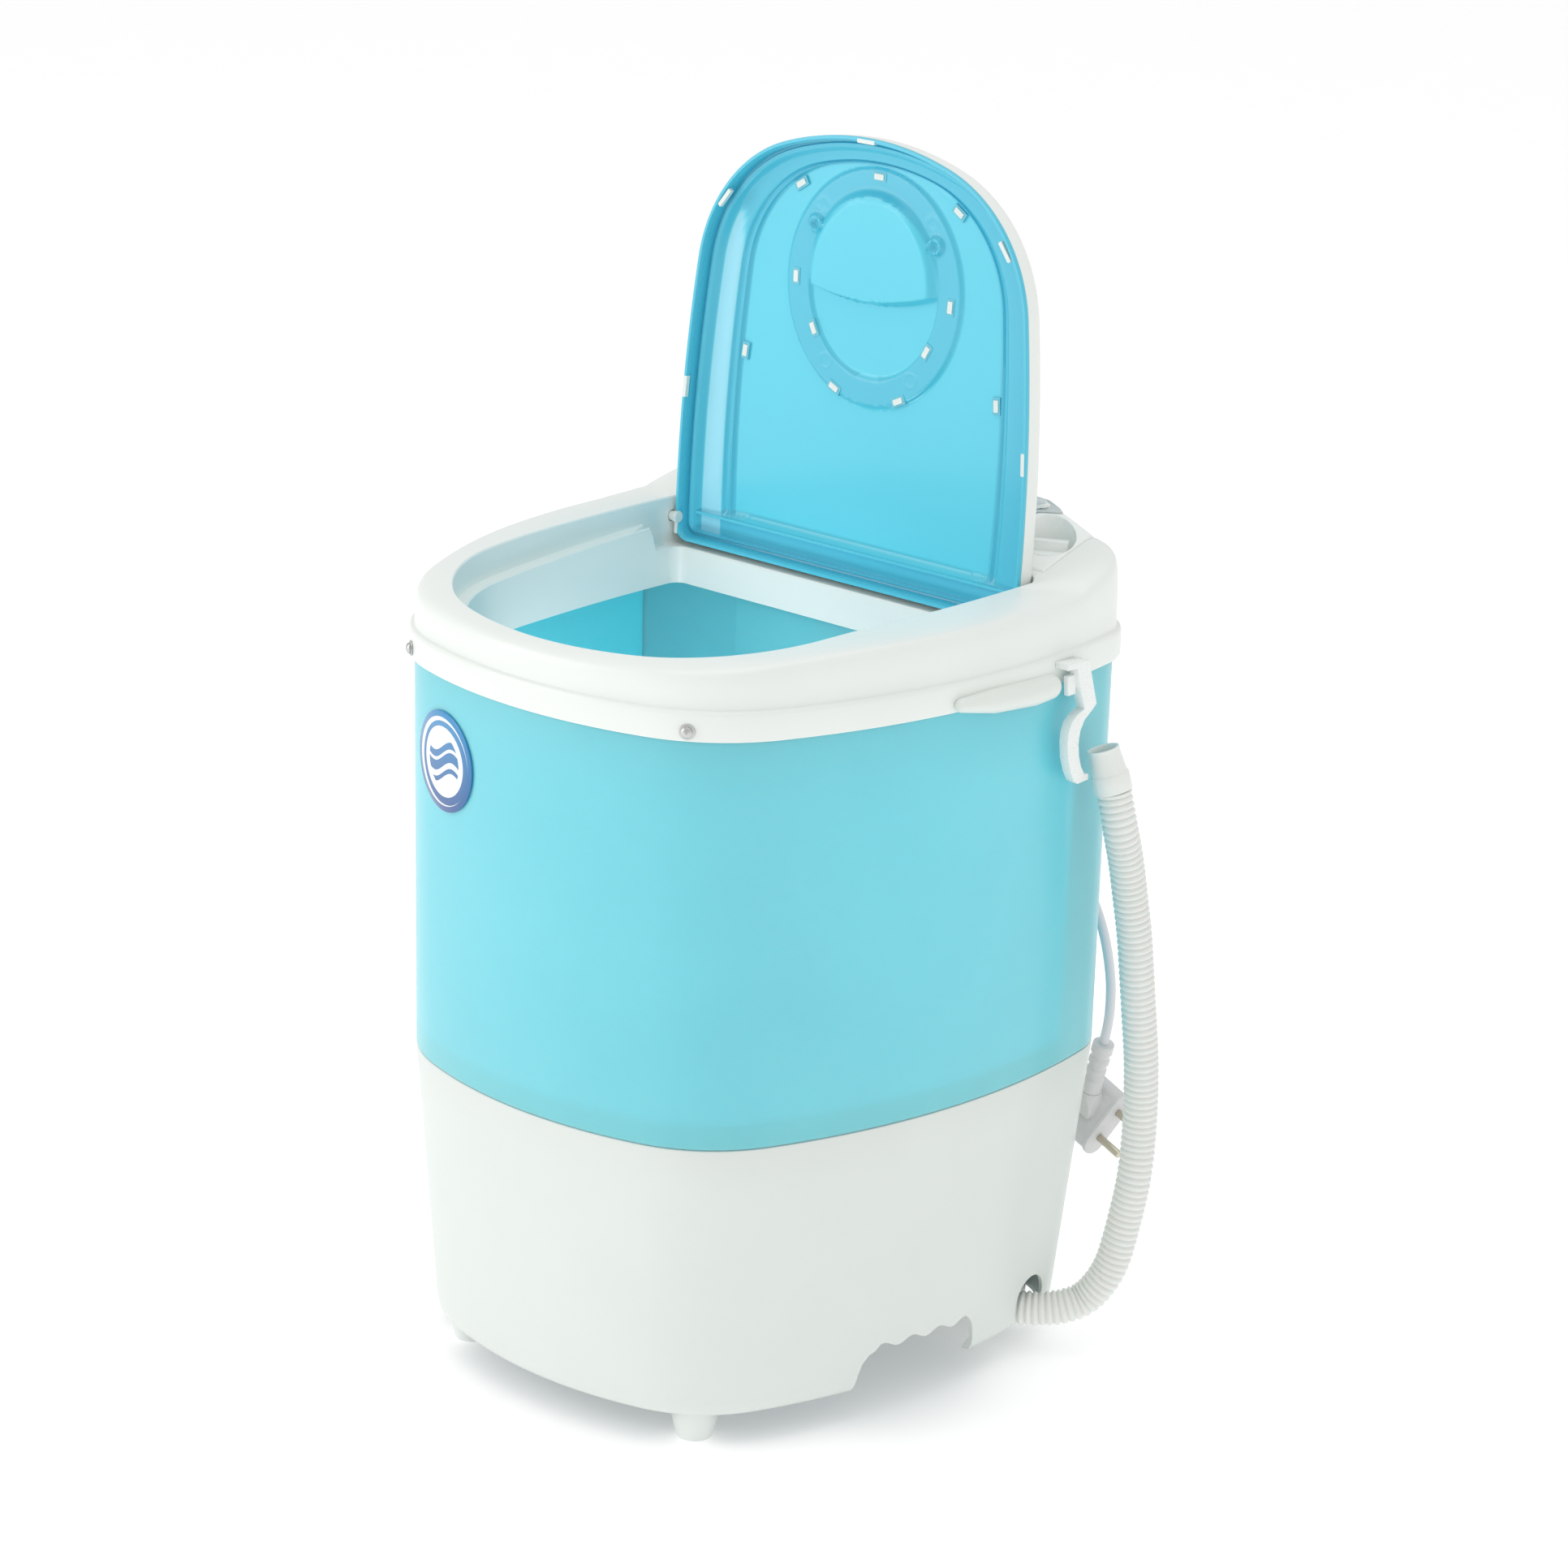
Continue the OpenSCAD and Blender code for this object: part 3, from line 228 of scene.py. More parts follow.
def badge_look():
    """Round label in its own plane: a blue disc with a white ring and white swooping bands, no lettering."""
    m = plastic("badge_print", (0.02, 0.16, 0.42), 0.25, coat=0.6)
    t = m.node_tree
    shader = t.nodes["Principled BSDF"]
    uv = t.nodes.new("ShaderNodeUVMap")
    uv.uv_map = "face"
    split = t.nodes.new("ShaderNodeSeparateXYZ")
    t.links.new(uv.outputs["UV"], split.inputs["Vector"])

    def maths(kind, a, b=0.0):
        n = t.nodes.new("ShaderNodeMath")
        n.operation = kind
        for i, v in enumerate((a, b)):
            if isinstance(v, (int, float)):
                n.inputs[i].default_value = v
            else:
                t.links.new(v, n.inputs[i])
        return n.outputs[0]

    x, y = split.outputs["X"], split.outputs["Y"]

    def disc(cx, cy, r):
        dx, dy = maths("SUBTRACT", x, cx), maths("SUBTRACT", y, cy)
        d = maths("SQRT", maths("ADD", maths("MULTIPLY", dx, dx), maths("MULTIPLY", dy, dy)))
        return maths("LESS_THAN", d, r)

    def wave(level, half):
        crest = maths("ADD", maths("MULTIPLY", maths("SINE", maths("MULTIPLY", x, 4.6)), 0.15), level)
        return maths("LESS_THAN", maths("ABSOLUTE", maths("SUBTRACT", y, crest)), half)

    waves = maths("MAXIMUM", maths("MAXIMUM", wave(0.24, 0.07), wave(0.0, 0.1)), wave(-0.27, 0.05))
    field = maths("SUBTRACT", disc(0.02, 0.0, 0.70), maths("MULTIPLY", waves, disc(0.02, 0, 0.55)))
    rim = maths("MAXIMUM", maths("SUBTRACT", disc(0, 0, 0.88), disc(0.05, -0.02, 0.83)), 0)
    white = maths("MINIMUM", maths("ADD", maths("MAXIMUM", field, 0), rim), 1)
    shade = t.nodes.new("ShaderNodeValToRGB")
    shade.color_ramp.elements[0].color = (0.01, 0.05, 0.25, 1)
    shade.color_ramp.elements[1].color = (0.02, 0.30, 0.62, 1)
    t.links.new(maths("ADD", maths("MULTIPLY", y, 0.4), 0.5), shade.inputs["Fac"])
    mix = t.nodes.new("ShaderNodeMix")
    mix.data_type = "RGBA"
    t.links.new(white, mix.inputs["Factor"])
    t.links.new(shade.outputs["Color"], mix.inputs["A"])
    mix.inputs["B"].default_value = (0.85, 0.88, 0.9, 1)
    t.links.new(mix.outputs["Result"], shader.inputs["Base Color"])
    return m


# ---------- mesh tools ----------


def piece(name, verts, faces, body, slot, nodes=(), look=None, sharp=35):
    mesh = bpy.data.meshes.new(name)
    mesh.from_pydata([tuple(v) for v in verts], [], faces)
    b = bmesh.new()
    b.from_mesh(mesh)
    bmesh.ops.recalc_face_normals(b, faces=b.faces)
    b.to_mesh(mesh)
    b.free()
    mesh.shade_smooth()
    mesh.set_sharp_from_angle(angle=math.radians(sharp))
    mesh.materials.append(look or LOOKS[slot])
    obj = bpy.data.objects.new(name, mesh)
    bpy.context.scene.collection.objects.link(obj)
    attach(obj, body)
    if nodes:
        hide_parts(*nodes)
    return obj


def loft(name, rings, body, slot, nodes=(), closed=True, look=None, sharp=35):
    """Skin through rings of equal length; closed joins last ring to first, else the ends are capped."""
    n, k = len(rings[0]), len(rings)
    verts = np.concatenate(rings)
    faces = [(i * n + j, i * n + (j + 1) % n, (i + 1) % k * n + (j + 1) % n, (i + 1) % k * n + j)
             for i in range(k if closed else k - 1) for j in range(n)]
    if not closed:
        faces += [tuple(range(n))[::-1], tuple((k - 1) * n + j for j in range(n))]
    return piece(name, verts, faces, body, slot, nodes, look, sharp)


def dressed(node, slot, bevel=0.4, body=None, look=None):
    """A CAD part with its flat triangles merged, its edges eased and a material."""
    src = frame["nodes"][node]
    b = bmesh.new()
    b.from_mesh(src.data)
    bmesh.ops.remove_doubles(b, verts=b.verts, dist=2e-6)
    bmesh.ops.dissolve_limit(b, angle_limit=math.radians(1), verts=b.verts, edges=b.edges)
    mesh = bpy.data.meshes.new(node + "_body")
    b.to_mesh(mesh)
    b.free()
    obj = bpy.data.objects.new(node + "_body", mesh)
    bpy.context.scene.collection.objects.link(obj)
    if bevel:
        ease = obj.modifiers.new("ease", "BEVEL")
        ease.width = bevel * MM
        ease.segments = 2
        ease.limit_method = "ANGLE"
        ease.angle_limit = math.radians(40)
        ease.harden_normals = False
        bpy.context.view_layer.update()
        made = bpy.data.meshes.new_from_object(obj.evaluated_get(bpy.context.evaluated_depsgraph_get()))
        obj.modifiers.clear()
        obj.data = made
    obj.data.shade_smooth()
    obj.data.set_sharp_from_angle(angle=math.radians(32))
    obj.data.materials.clear()
    obj.data.materials.append(look or LOOKS[slot])
    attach(obj, body or src["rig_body"])
    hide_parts(node)
    return obj


def cut(obj, cutters):
    """Boolean difference, applied at once."""
    for c in cutters:
        m = obj.modifiers.new("cut", "BOOLEAN")
        m.operation = "DIFFERENCE"
        m.solver = "EXACT"
        m.object = c
    bpy.context.view_layer.update()
    made = bpy.data.meshes.new_from_object(obj.evaluated_get(bpy.context.evaluated_depsgraph_get()))
    obj.modifiers.clear()
    obj.data = made
    made.shade_smooth()
    made.set_sharp_from_angle(angle=math.radians(35))
    for c in cutters:
        bpy.data.objects.remove(c)


def prism(outline, low, high, axis="X"):
    """Temporary cutter: an outline in the other two axes, drawn out along X or Z."""
    verts = [((v, p[0], p[1]) if axis == "X" else (p[0], p[1], v)) for v in (low, high) for p in outline]
    n = len(outline)
    faces = [tuple(range(n)), tuple(range(n, 2 * n))[::-1]]
    faces += [(j, j + n, (j + 1) % n + n, (j + 1) % n) for j in range(n)]
    mesh = bpy.data.meshes.new("cutter")
    mesh.from_pydata([tuple(np.array(v) * MM) for v in verts], [], faces)
    b = bmesh.new()
    b.from_mesh(mesh)
    bmesh.ops.recalc_face_normals(b, faces=b.faces)
    b.to_mesh(mesh)
    b.free()
    obj = bpy.data.objects.new("cutter", mesh)
    bpy.context.scene.collection.objects.link(obj)
    return obj


def disc_outline(x, y, r, n=48):
    return [(x + r * math.cos(a), y + r * math.sin(a)) for a in np.arange(n) * 2 * math.pi / n]


def smooth_route(route, n):
    """Catmull-Rom curve through the route, n points to each stretch."""
    p = np.array(route, float)
    p = np.vstack([2 * p[0] - p[1], p, 2 * p[-1] - p[-2]])
    out = []
    for i in range(1, len(p) - 2):
        a, b, c, d = p[i - 1], p[i], p[i + 1], p[i + 2]
        for j in range(n):
            t = j / n
            cubic = (2 * a - 5 * b + 4 * c - d) + t * (3 * (b - c) + d - a)
            out.append(b + 0.5 * t * ((c - a) + t * cubic))
    out.append(p[-2])
    return np.array(out)


def frames_along(path):
    """Side and up vectors along a path that don't twist."""
    tangent = np.gradient(path, axis=0)
    tangent /= np.linalg.norm(tangent, axis=1)[:, None]
    side = np.cross(tangent[0], (0.31, 0.2, 0.93))
    out = []
    for t in tangent:
        side = side - side.dot(t) * t
        side /= np.linalg.norm(side)
        out.append((side, np.cross(t, side)))
    return tangent, out


def even(path, step):
    """The same path with points a fixed step apart."""
    run = np.concatenate([[0], np.cumsum(np.linalg.norm(np.diff(path, axis=0), axis=1))])
    at = np.linspace(0, run[-1], int(run[-1] / step) + 1)
    return np.stack([np.interp(at, run, path[:, i]) for i in range(3)], 1), at


# ---------- mains lead ----------

CORD_D = 6
COIL_AT = (-10, 217)
CORD_IN = [
    (40, 182, 60), (40, 193, 58), (39, 205, 51), (37, 217, 38), (33, 229, 24), (27, 239, 12), (18, 247, 5.5),
    (6, 252, 3.5), (-10, 253, 3.2),
]
CORD_OUT = [
    (-10, 184, 14.6), (8, 185.5, 14.5), (24, 189, 13), (38, 192, 8), (48, 193, 4.8), (57, 192.8, 3.5),
    (68.4, 191.2, 5.9), (77.5, 188.5, 13.2), (82.6, 185.5, 24), (84, 182, 36), (84, 177, 60), (84, 173.5, 95),
    (84, 172, 150), (84, 172, 200), (85, 172, 224), (87, 172, 243), (90, 172, 258), (94.2, 172, 268),
    (101.7, 172, 274.9), (111.5, 172, 278.1), (122, 172, 277), (132.2, 172, 270.8), (141, 172, 257.5),
    (147.5, 173, 239), (150, 176, 215), (148, 179, 192), (143.5, 181, 172.5),
]


def coil_points():
    """Four and a half turns: two side by side on the floor, two on those, half a turn on top."""
    turn = [90, 390, 450, 750, 810, 1110, 1170, 1410, 1470, 1530, 1710]
    reach = [36, 36, 30, 30, 30, 30, 36, 36, 36, 33, 33]
    height = [3.2, 3.2, 3.2, 3.2, 9.3, 9.3, 9.3, 9.3, 15.2, 14.6, 14.6]
    a = np.arange(90, 1711, 12)
    r, z = np.interp(a, turn, reach), np.interp(a, turn, height)
    c, s = np.cos(np.radians(a)), np.sin(np.radians(a))
    return np.stack([COIL_AT[0] + r * c, COIL_AT[1] + r * s, z], 1)


lead = np.vstack([smooth_route(CORD_IN, 4)[:-1], coil_points(), smooth_route(CORD_OUT, 4)[1:]]) * MM
curve = bpy.data.curves.new("mains_lead", "CURVE")
curve.dimensions = "3D"
curve.bevel_depth = CORD_D / 2 * MM
curve.bevel_resolution = 4
curve.use_fill_caps = True
spline = curve.splines.new("POLY")
spline.points.add(len(lead) - 1)
for point, at in zip(spline.points, lead):
    point.co = (*at, 1)
spline.use_smooth = True
curve.materials.append(LOOKS["cord_grey"])
mains_lead = bpy.data.objects.new("mains_lead", curve)
bpy.context.scene.collection.objects.link(mains_lead)
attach(mains_lead, "cabinet")
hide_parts("mains_cord_in", "cord_coil", "mains_cord_out")

# ---------- drain hose ----------

HOSE_R = 10.5
HOSE_PITCH = 4.0
HOSE = [
    (118, 88, 29), (130, 88, 29), (143, 90, 29), (155, 95.5, 28.5), (166, 103, 29), (176, 112, 31),
    (184, 121, 36), (191, 127, 47), (196, 131.5, 62), (200, 135.5, 88), (203, 138.5, 115), (203, 141, 140),
    (203, 141, 167), (203, 139, 193), (202, 136, 220), (201, 133, 246), (200, 130, 271),
    (198.6, 125.3, 297.3), (198.3, 120.5, 318), (197.4, 114.3, 340.2), (193.5, 112, 361.2),
]


def corrugated(path, pitch, crest, root, sides, bore):
    """Rings that ripple between a crest and a root radius, with the bore as the inner wall."""
    steps, bore_rings = 10, 60
    line, run = even(path, pitch / steps)
    _, around = frames_along(line)
    ripple = 0.5 + 0.5 * np.cos(2 * np.pi * run / pitch)
    radius = root + (crest - root) * np.sqrt(ripple)
    a = np.arange(sides) * 2 * np.pi / sides

    def circle(i, r):
        u, v = around[i]
        return line[i] + r * (np.cos(a)[:, None] * u + np.sin(a)[:, None] * v)

    rings = [circle(i, radius[i]) for i in range(len(line))]
    rings += [circle(i, bore) for i in np.linspace(len(line) - 1, 0, bore_rings).astype(int)]
    return rings, line


hose_rings, hose_line = corrugated(smooth_route(HOSE, 8), HOSE_PITCH, HOSE_R, HOSE_R - 1.5, 40, 8.3)
hose = loft("hose", [r * MM for r in hose_rings], "cabinet", "hose_white", ["drain_hose"], sharp=80)

# ---------- body outline, as in the CAD ----------

BODY = (-180, 280, 179.5, 57, 417, 92, 167, 45)
TAPER_Y = -28
LIP_Z = 430
HINGE = (88.4, 464.6)
OPENING = (HINGE[0] - 251.7, 202, 137.6, HINGE[0] - 30, 1052, 97, 108, 12)
WELL = (HINGE[0] - 251.7, 202, 137.6, HINGE[0] - 30, 1052, 97, 94, 16)
LID = (-248.7, 199, 134.6, -30, 1049, 94, 13.9, 10)


def touch_centre(c1, r1, c2, r2, r):
    d = c2 - c1
    span = np.linalg.norm(d)
    e = d / span
    p, q = r1 - r, r2 - r
    a = (p * p - q * q + span * span) / (2 * span)
    return c1 + a * e + math.sqrt(p * p - a * a) * np.array([-e[1], e[0]])


def arc(c, r, a0, a1, n, first):
    a = np.radians(a0 + (a1 - a0) * np.arange(first, n + 1) / n)
    return np.array(c) + r * np.stack([np.cos(a), np.sin(a)], 1)


def plan(f, g=0.0, k=4):
    """Closed plan outline inset by g, from the middle of the front round by +X."""
    f = (f[0] + g, f[1] - g, f[2] - g, f[3], f[4] - g, f[5] - g, f[6] - g, max(f[7] - g, 1))
    c1, c2 = np.array([0, f[0] + f[1]]), np.array([f[2] - f[4], f[3]])
    p = touch_centre(c1, f[1], c2, f[4], f[5])
    a1 = math.degrees(math.atan2(p[1] - c1[1], p[0] - c1[0]))
    a2 = math.degrees(math.atan2(p[1] - c2[1], p[0] - c2[0]))
    qy = f[6] - f[7]
    qx = c2[0] + math.sqrt((f[4] - f[7]) ** 2 - (qy - c2[1]) ** 2)
    a3 = math.degrees(math.atan2(qy - c2[1], qx - c2[0]))
    half = np.vstack([
        arc(c1, f[1], -90, a1, 5 * k, 0), arc(p, f[5], a1, a2, 7 * k, 1), arc(c2, f[4], a2, a3, 9 * k, 1),
        arc((qx, qy), f[7], a3, 90, 5 * k, 1),
        [(qx * (1 - i / (4 * k)), f[6]) for i in range(1, 4 * k + 1)],
    ])
    return np.vstack([half, half[-2:0:-1] * (-1, 1)])


def squeeze(p, s):
    return np.stack([p[:, 0] * s, (p[:, 1] - TAPER_Y) * s + TAPER_Y], 1)


def ring(p, z):
    return np.column_stack([p, np.broadcast_to(z, len(p))])


def body_ring(g, s, z, k=4):
    return ring(squeeze(plan(BODY, g, k), s), z)


def ramp(t):
    u = np.clip(t, 0, 1)
    return u * u * (3 - 2 * u)


def rim_z(y):
    return 476.7 - 19.8 * (np.maximum(0, -28 - y) / 200) ** 2 + 0.30 * np.maximum(0, y - 99)


def deck_z(x, y):
    return rim_z(y) + 0.27 * np.maximum(0, y - 104) * np.clip((136 - np.abs(x)) / 34, 0, 1)


def seat_z(y):
    low = ramp((y - 62) / 6)
    return (464 + 0.04 * (y - HINGE[0])) * (1 - low) + 447.5 * low


# ---------- base ----------

base_outer = [(9, 0.902, 19.6), (5.5, 0.902, 19.6), (2.6, 0.9025, 21), (0.8, 0.904, 24), (0, 0.906, 28.5)]
base_outer += [(0, 0.906 + 0.072 * t, 28.5 + 160.6 * t) for t in (0.15, 0.3, 0.5, 0.7, 0.85, 1)]
base_outer += [(0.4, 0.978, 190.3), (1.2, 0.978, 190.7), (3.4, 0.978, 190.7), (3.4, 0.978, 198)]
base_outer += [(5.8, 0.978, 198)]
base_inner = [(5.8, 0.978, 185), (2.8, 0.945, 110), (2.8, 0.908, 30), (8, 0.903, 22)]
base_rings = [body_ring(*r, k=6) * MM for r in base_outer + base_inner]
base = loft("base_shell", base_rings, "cabinet", "white", ["base_skirt"], look=LOOKS["white_base_painted_shade"])


def notch_outline():
    """Hand notch: leaning front end, wavy top, steep back end."""
    y = np.linspace(-33, 34, 60)
    top = 45.5 + 1.8 * np.sin(np.radians((y + 36) * 17)) - 0.02 * (y - 5)
    wave = list(zip(y, top))
    front = [(-50, 4), (-48.5, 22), (-47, 31), (-44.5, 38), (-40.5, 42.5), (-36.5, 44.2)]
    back = [(37.5, 43.5), (40, 39.5), (41.5, 33), (42.5, 24), (43.5, 4)]
    return front + wave + back


arch = [(98 + 14.5 * math.cos(a), 36 + 14.5 * math.sin(a)) for a in np.linspace(0, math.pi, 33)]
arch += [(83.5, 2), (112.5, 2)]
hole = prism(disc_outline(40, 60, 6.6, 32), 100, 180, "X")
hole.data.transform(Matrix(((0, 1, 0, 0), (1, 0, 0, 0), (0, 0, 1, 0), (0, 0, 0, 1))))
hole.data.flip_normals()
cut(base, [prism(notch_outline(), 110, 200), prism(arch, 120, 200), hole])

# ---------- tub ----------

tub_rings = [(0.9, 0.978, 191), (0.2, 0.978, 191.5), (0, 0.978, 192.4)]
tub_rings += [(0, 0.978 + 0.004 * t, 192.4 + 249 * t) for t in (0.25, 0.5, 0.75, 1)]
tub_rings += [(0.4, 0.982, 443), (2.4, 0.982, 443), (2.8, 0.982, 441.4), (2.8, 0.978, 193), (2.4, 0.978, 191)]
tub = loft("tub_shell", [body_ring(*r, k=6) * MM for r in tub_rings], "cabinet", "blue_tub", ["wash_tub"])


def solid(name, outline, low, high, body, slot, ease=0.6):
    """Upright prism with eased top and bottom edges, from an outline in plan."""
    d = np.roll(outline, -1, 0) - np.roll(outline, 1, 0)
    inward = np.stack([-d[:, 1], d[:, 0]], 1) / np.maximum(np.linalg.norm(d, axis=1), 1e-6)[:, None] * ease
    rings = [ring(outline + inward, low), ring(outline, low + ease)]
    rings += [ring(outline, high - ease), ring(outline + inward, high)]
    return loft(name, [r * MM for r in rings], body, slot, closed=False)


tub_plan = squeeze(plan(BODY, 1.5, 6), 0.979)
floor_plan = np.array([q for q in tub_plan if q[1] < 102])
tub_floor = solid("tub_floor", floor_plan, 202, 205.5, "cabinet", "blue_tub", 0.2)
shaft_hole = prism(disc_outline(0, -36, 10.6), 195, 215, "Z")
drain_hole = prism(disc_outline(104, 86, 9.6), 195, 215, "Z")
cut(tub_floor, [shaft_hole, drain_hole])


def rear_wall_outline():
    """The tub's rear wall in plan, 3 mm thick, its middle stretch set back by a soft step at each side."""
    face = [(-171.6, 100)]
    for side in (-1, 1):
        steps = np.linspace(-0.5, 0.5, 9) * side
        face += [(side * (88 + 3 * u), 100 - 6 * (1 - ramp(u + 0.5))) for u in steps]
    face.append((171.6, 100))
    return np.array(face + [(x, y + 3) for x, y in face[::-1]])


solid("tub_rear_wall", rear_wall_outline(), 205, 424, "cabinet", "blue_tub", 0.3)
POSTS = [(-118, -4, 6, 192), (-42, -4, 6, 192), (-118, 72, 6, 192), (-42, 72, 6, 192), (72, 40, 5, 190)]
for i, (x, y, r, low) in enumerate(POSTS):
    solid(f"tub_post_{i}", np.array(disc_outline(x, y, r, 32)), low, 203, "cabinet", "blue_tub", 0.4)

# ---------- top frame ----------


def frame_ring(t, w):
    """Ring of the frame's top, t of the way from outer wall to opening and w of the way up to the crest."""
    outer, inner = plan(BODY, 3, 6), plan(OPENING, 0, 6)
    k = t * (1 - 0.68 * ramp((outer[:, 1] - 50) / 70))
    p = outer + (inner - outer) * k[:, None]
    crest = rim_z(p[:, 1])
    return ring(p, LIP_Z + 18.5 + (crest - LIP_Z - 18.5) * w)


PROFILE = [(0.012, 0.34), (0.035, 0.62), (0.07, 0.78), (0.12, 0.865), (0.19, 0.91), (0.28, 0.94),
           (0.42, 0.965), (0.6, 0.982), (0.8, 0.994), (0.92, 0.999)]


def frame_rings():
    def body(g, z):
        return ring(plan(BODY, g, 6), z)

    def opening(g, z):
        return ring(plan(OPENING, g, 6), z)

    def well(g, z):
        return ring(plan(WELL, g, 6), z)

    mouth = rim_z(plan(OPENING, 0, 6)[:, 1])
    seat = seat_z(plan(OPENING, 1, 6)[:, 1])
    seat_mid = seat_z(plan(OPENING, 0, 6)[:, 1])
    step = seat_z(plan(WELL, 8, 6)[:, 1])
    rings = [body(1.6, LIP_Z), body(0.4, LIP_Z + 0.4), body(0, LIP_Z + 1.6), body(0, LIP_Z + 14.4),
             body(0.35, LIP_Z + 16), body(1.3, LIP_Z + 17.2), body(2.6, LIP_Z + 17.6), body(3, LIP_Z + 18.5)]
    rings += [frame_ring(t, w) for t, w in PROFILE]
    rings += [opening(-0.7, mouth - 0.1), opening(0, mouth - 0.9), opening(0.5, (mouth + seat_mid) / 2),
              opening(1, seat + 0.8), opening(1.9, seat), well(7.2, step), well(8, step - 0.8),
              well(8.3, 432), well(8.4, 425), well(6.2, 425), well(5.6, step - 2.6), opening(-1.8, seat - 2.6),
              opening(-1.8, mouth - 4), body(12, LIP_Z + 17), body(2.4, LIP_Z + 14), body(2.3, LIP_Z)]
    return [r * MM for r in rings]


top = loft("frame_shell", frame_rings(), "cabinet", "white", ["top_frame"], look=LOOKS["white_top"])
deck_hole = [(-135.9, 110.6), (135.9, 110.6), (135.9, 156.9), (-135.9, 156.9)]
cut(top, [prism(deck_hole, 455, 520, "Z"), prism(disc_outline(*HINGE, 3.6, 32), -145, 145)])

# ---------- lid ----------

LEAN = math.radians(2.8)


def lid_points(p, n):
    """Lid outline points and depth above its rim plane, placed open: y runs up the lid from the hinge."""
    y, z = -p[:, 1], -np.broadcast_to(n, len(p))
    c, s = math.cos(LEAN), math.sin(LEAN)
    return np.column_stack([p[:, 0], HINGE[0] + y * s - z * c, HINGE[1] + y * c + z * s]) * MM


def bump_at(p, centre, size, edge):
    """1 inside an ellipse, 0 outside, with a soft edge of the given width in mm."""
    d = np.sqrt((np.abs(p[:, 0] - centre[0]) / size[0]) ** 2 + (np.abs(p[:, 1] - centre[1]) / size[1]) ** 2)
    return 1 - ramp((d - 1) * min(size) / edge + 0.5)


# Inset from the outline, or share of the way to the panel's border, with the depth of the inner face there
RIM = [(0, 0.4), (0.3, 0), (1.9, 0), (2.4, 0.6), (2.9, 8.6), (4.2, 9.0), (5.0, 7.4), (6.6, 7.4), (8.0, 9.0),
       (9.2, 11.6), (10.2, 12.2), (11, 12.4)]
BAND = [(0.15, 12.5), (0.32, 12.65), (0.5, 12.85), (0.61, 13.0), (0.65, 13.7), (0.69, 14.8), (0.74, 15.2),
        (0.82, 15.3), (0.87, 14.1), (0.9, 14.1), (0.94, 15.7), (1, 16.3)]
PANEL_N = 16.3
RIM_TABS = [(0, -246.6, 0), (107.5, -199, 52), (131.6, -81, 86), (133, 4, 90)]
SLOT_TABS = [(60.5, -213.2, 32), (97.6, -107.3, 84), (97.4, 1.5, 90)]
RING_TABS = [(59.5, -158.4, 92), (43.7, -129.7, 118), (25, -97.5, 155)]
BOSSES = [(-46, -191.8), (46, -191.8)]
EJECTOR_MARKS = [(-42, -203), (42, -204), (49.4, -224.8), (-33, -112), (33, -111), (104, -127), (-104, -127)]
RING_AT = (0, -160)
RING_OUT = (67, 70)
RING_IN = (49, 53)


def relief(p):
    """Depth of the panel's inner face inside its border."""
    x, y = p[:, 0], p[:, 1]
    n = np.full(len(p), PANEL_N)
    n -= 2.0 * (bump_at(p, RING_AT, RING_OUT, 1.6) - bump_at(p, RING_AT, RING_IN, 1.6))
    lower_edge = -157 + 6.5 * (1 - (x / 46) ** 2) - 0.05 * x
    pocket = bump_at(p, (0, -163), (47, 52), 6.5) * ramp((lower_edge - y) / 2.6)
    n -= 6.6 * pocket
    for at in BOSSES:
        n -= 2.6 * (bump_at(p, at, (5.4, 5.4), 1.4) - bump_at(p, at, (2.4, 2.4), 1.4))
    for at in EJECTOR_MARKS:
        n -= 0.35 * (bump_at(p, at, (4.6, 4.6), 0.8) - bump_at(p, at, (3.8, 3.8), 0.8))
    return n


def hinge_limit(p, n):
    """The lid is thinner by its hinge, so that it clears the deck as it swings and stays inside its cover."""
    y = p[:, 1]
    reach = np.sqrt(np.maximum(18.8 ** 2 - np.maximum(y, 0) ** 2, 1))
    return np.minimum(n, np.where(y > -20, np.minimum(reach, 17.9), 99))


def under_cover(p, n, room):
    """Keeps the panel inside the cover's rounded edge along the hinge."""
    edge = 18 - 4.2 * ramp((p[:, 1] + 6) / 2.5)
    return np.where(p[:, 1] > -6, np.minimum(n, edge - room), n)


def panel_plan(g, k=8):
    """Inset of the lid's outline whose hinge side stays near the edge."""
    hinge_side = min(g, 5.6 + 0.012 * g)
    return plan((*LID[:6], LID[6] + g - hinge_side, LID[7]), g, k)


def band_plan(t):
    """Outline part of the way from the rim to the border of the raised panel."""
    return panel_plan(11) * (1 - t) + BORDER * t


BORDER = plan((-232, 165, 101, -60, 1016, 78, 8.3, 1), 0, 8)
PANEL_AT = np.array([0, -118.0])
PANEL_RINGS = [PANEL_AT + (BORDER - PANEL_AT) * u for u in np.linspace(1, 0.001, 96)[1:]]


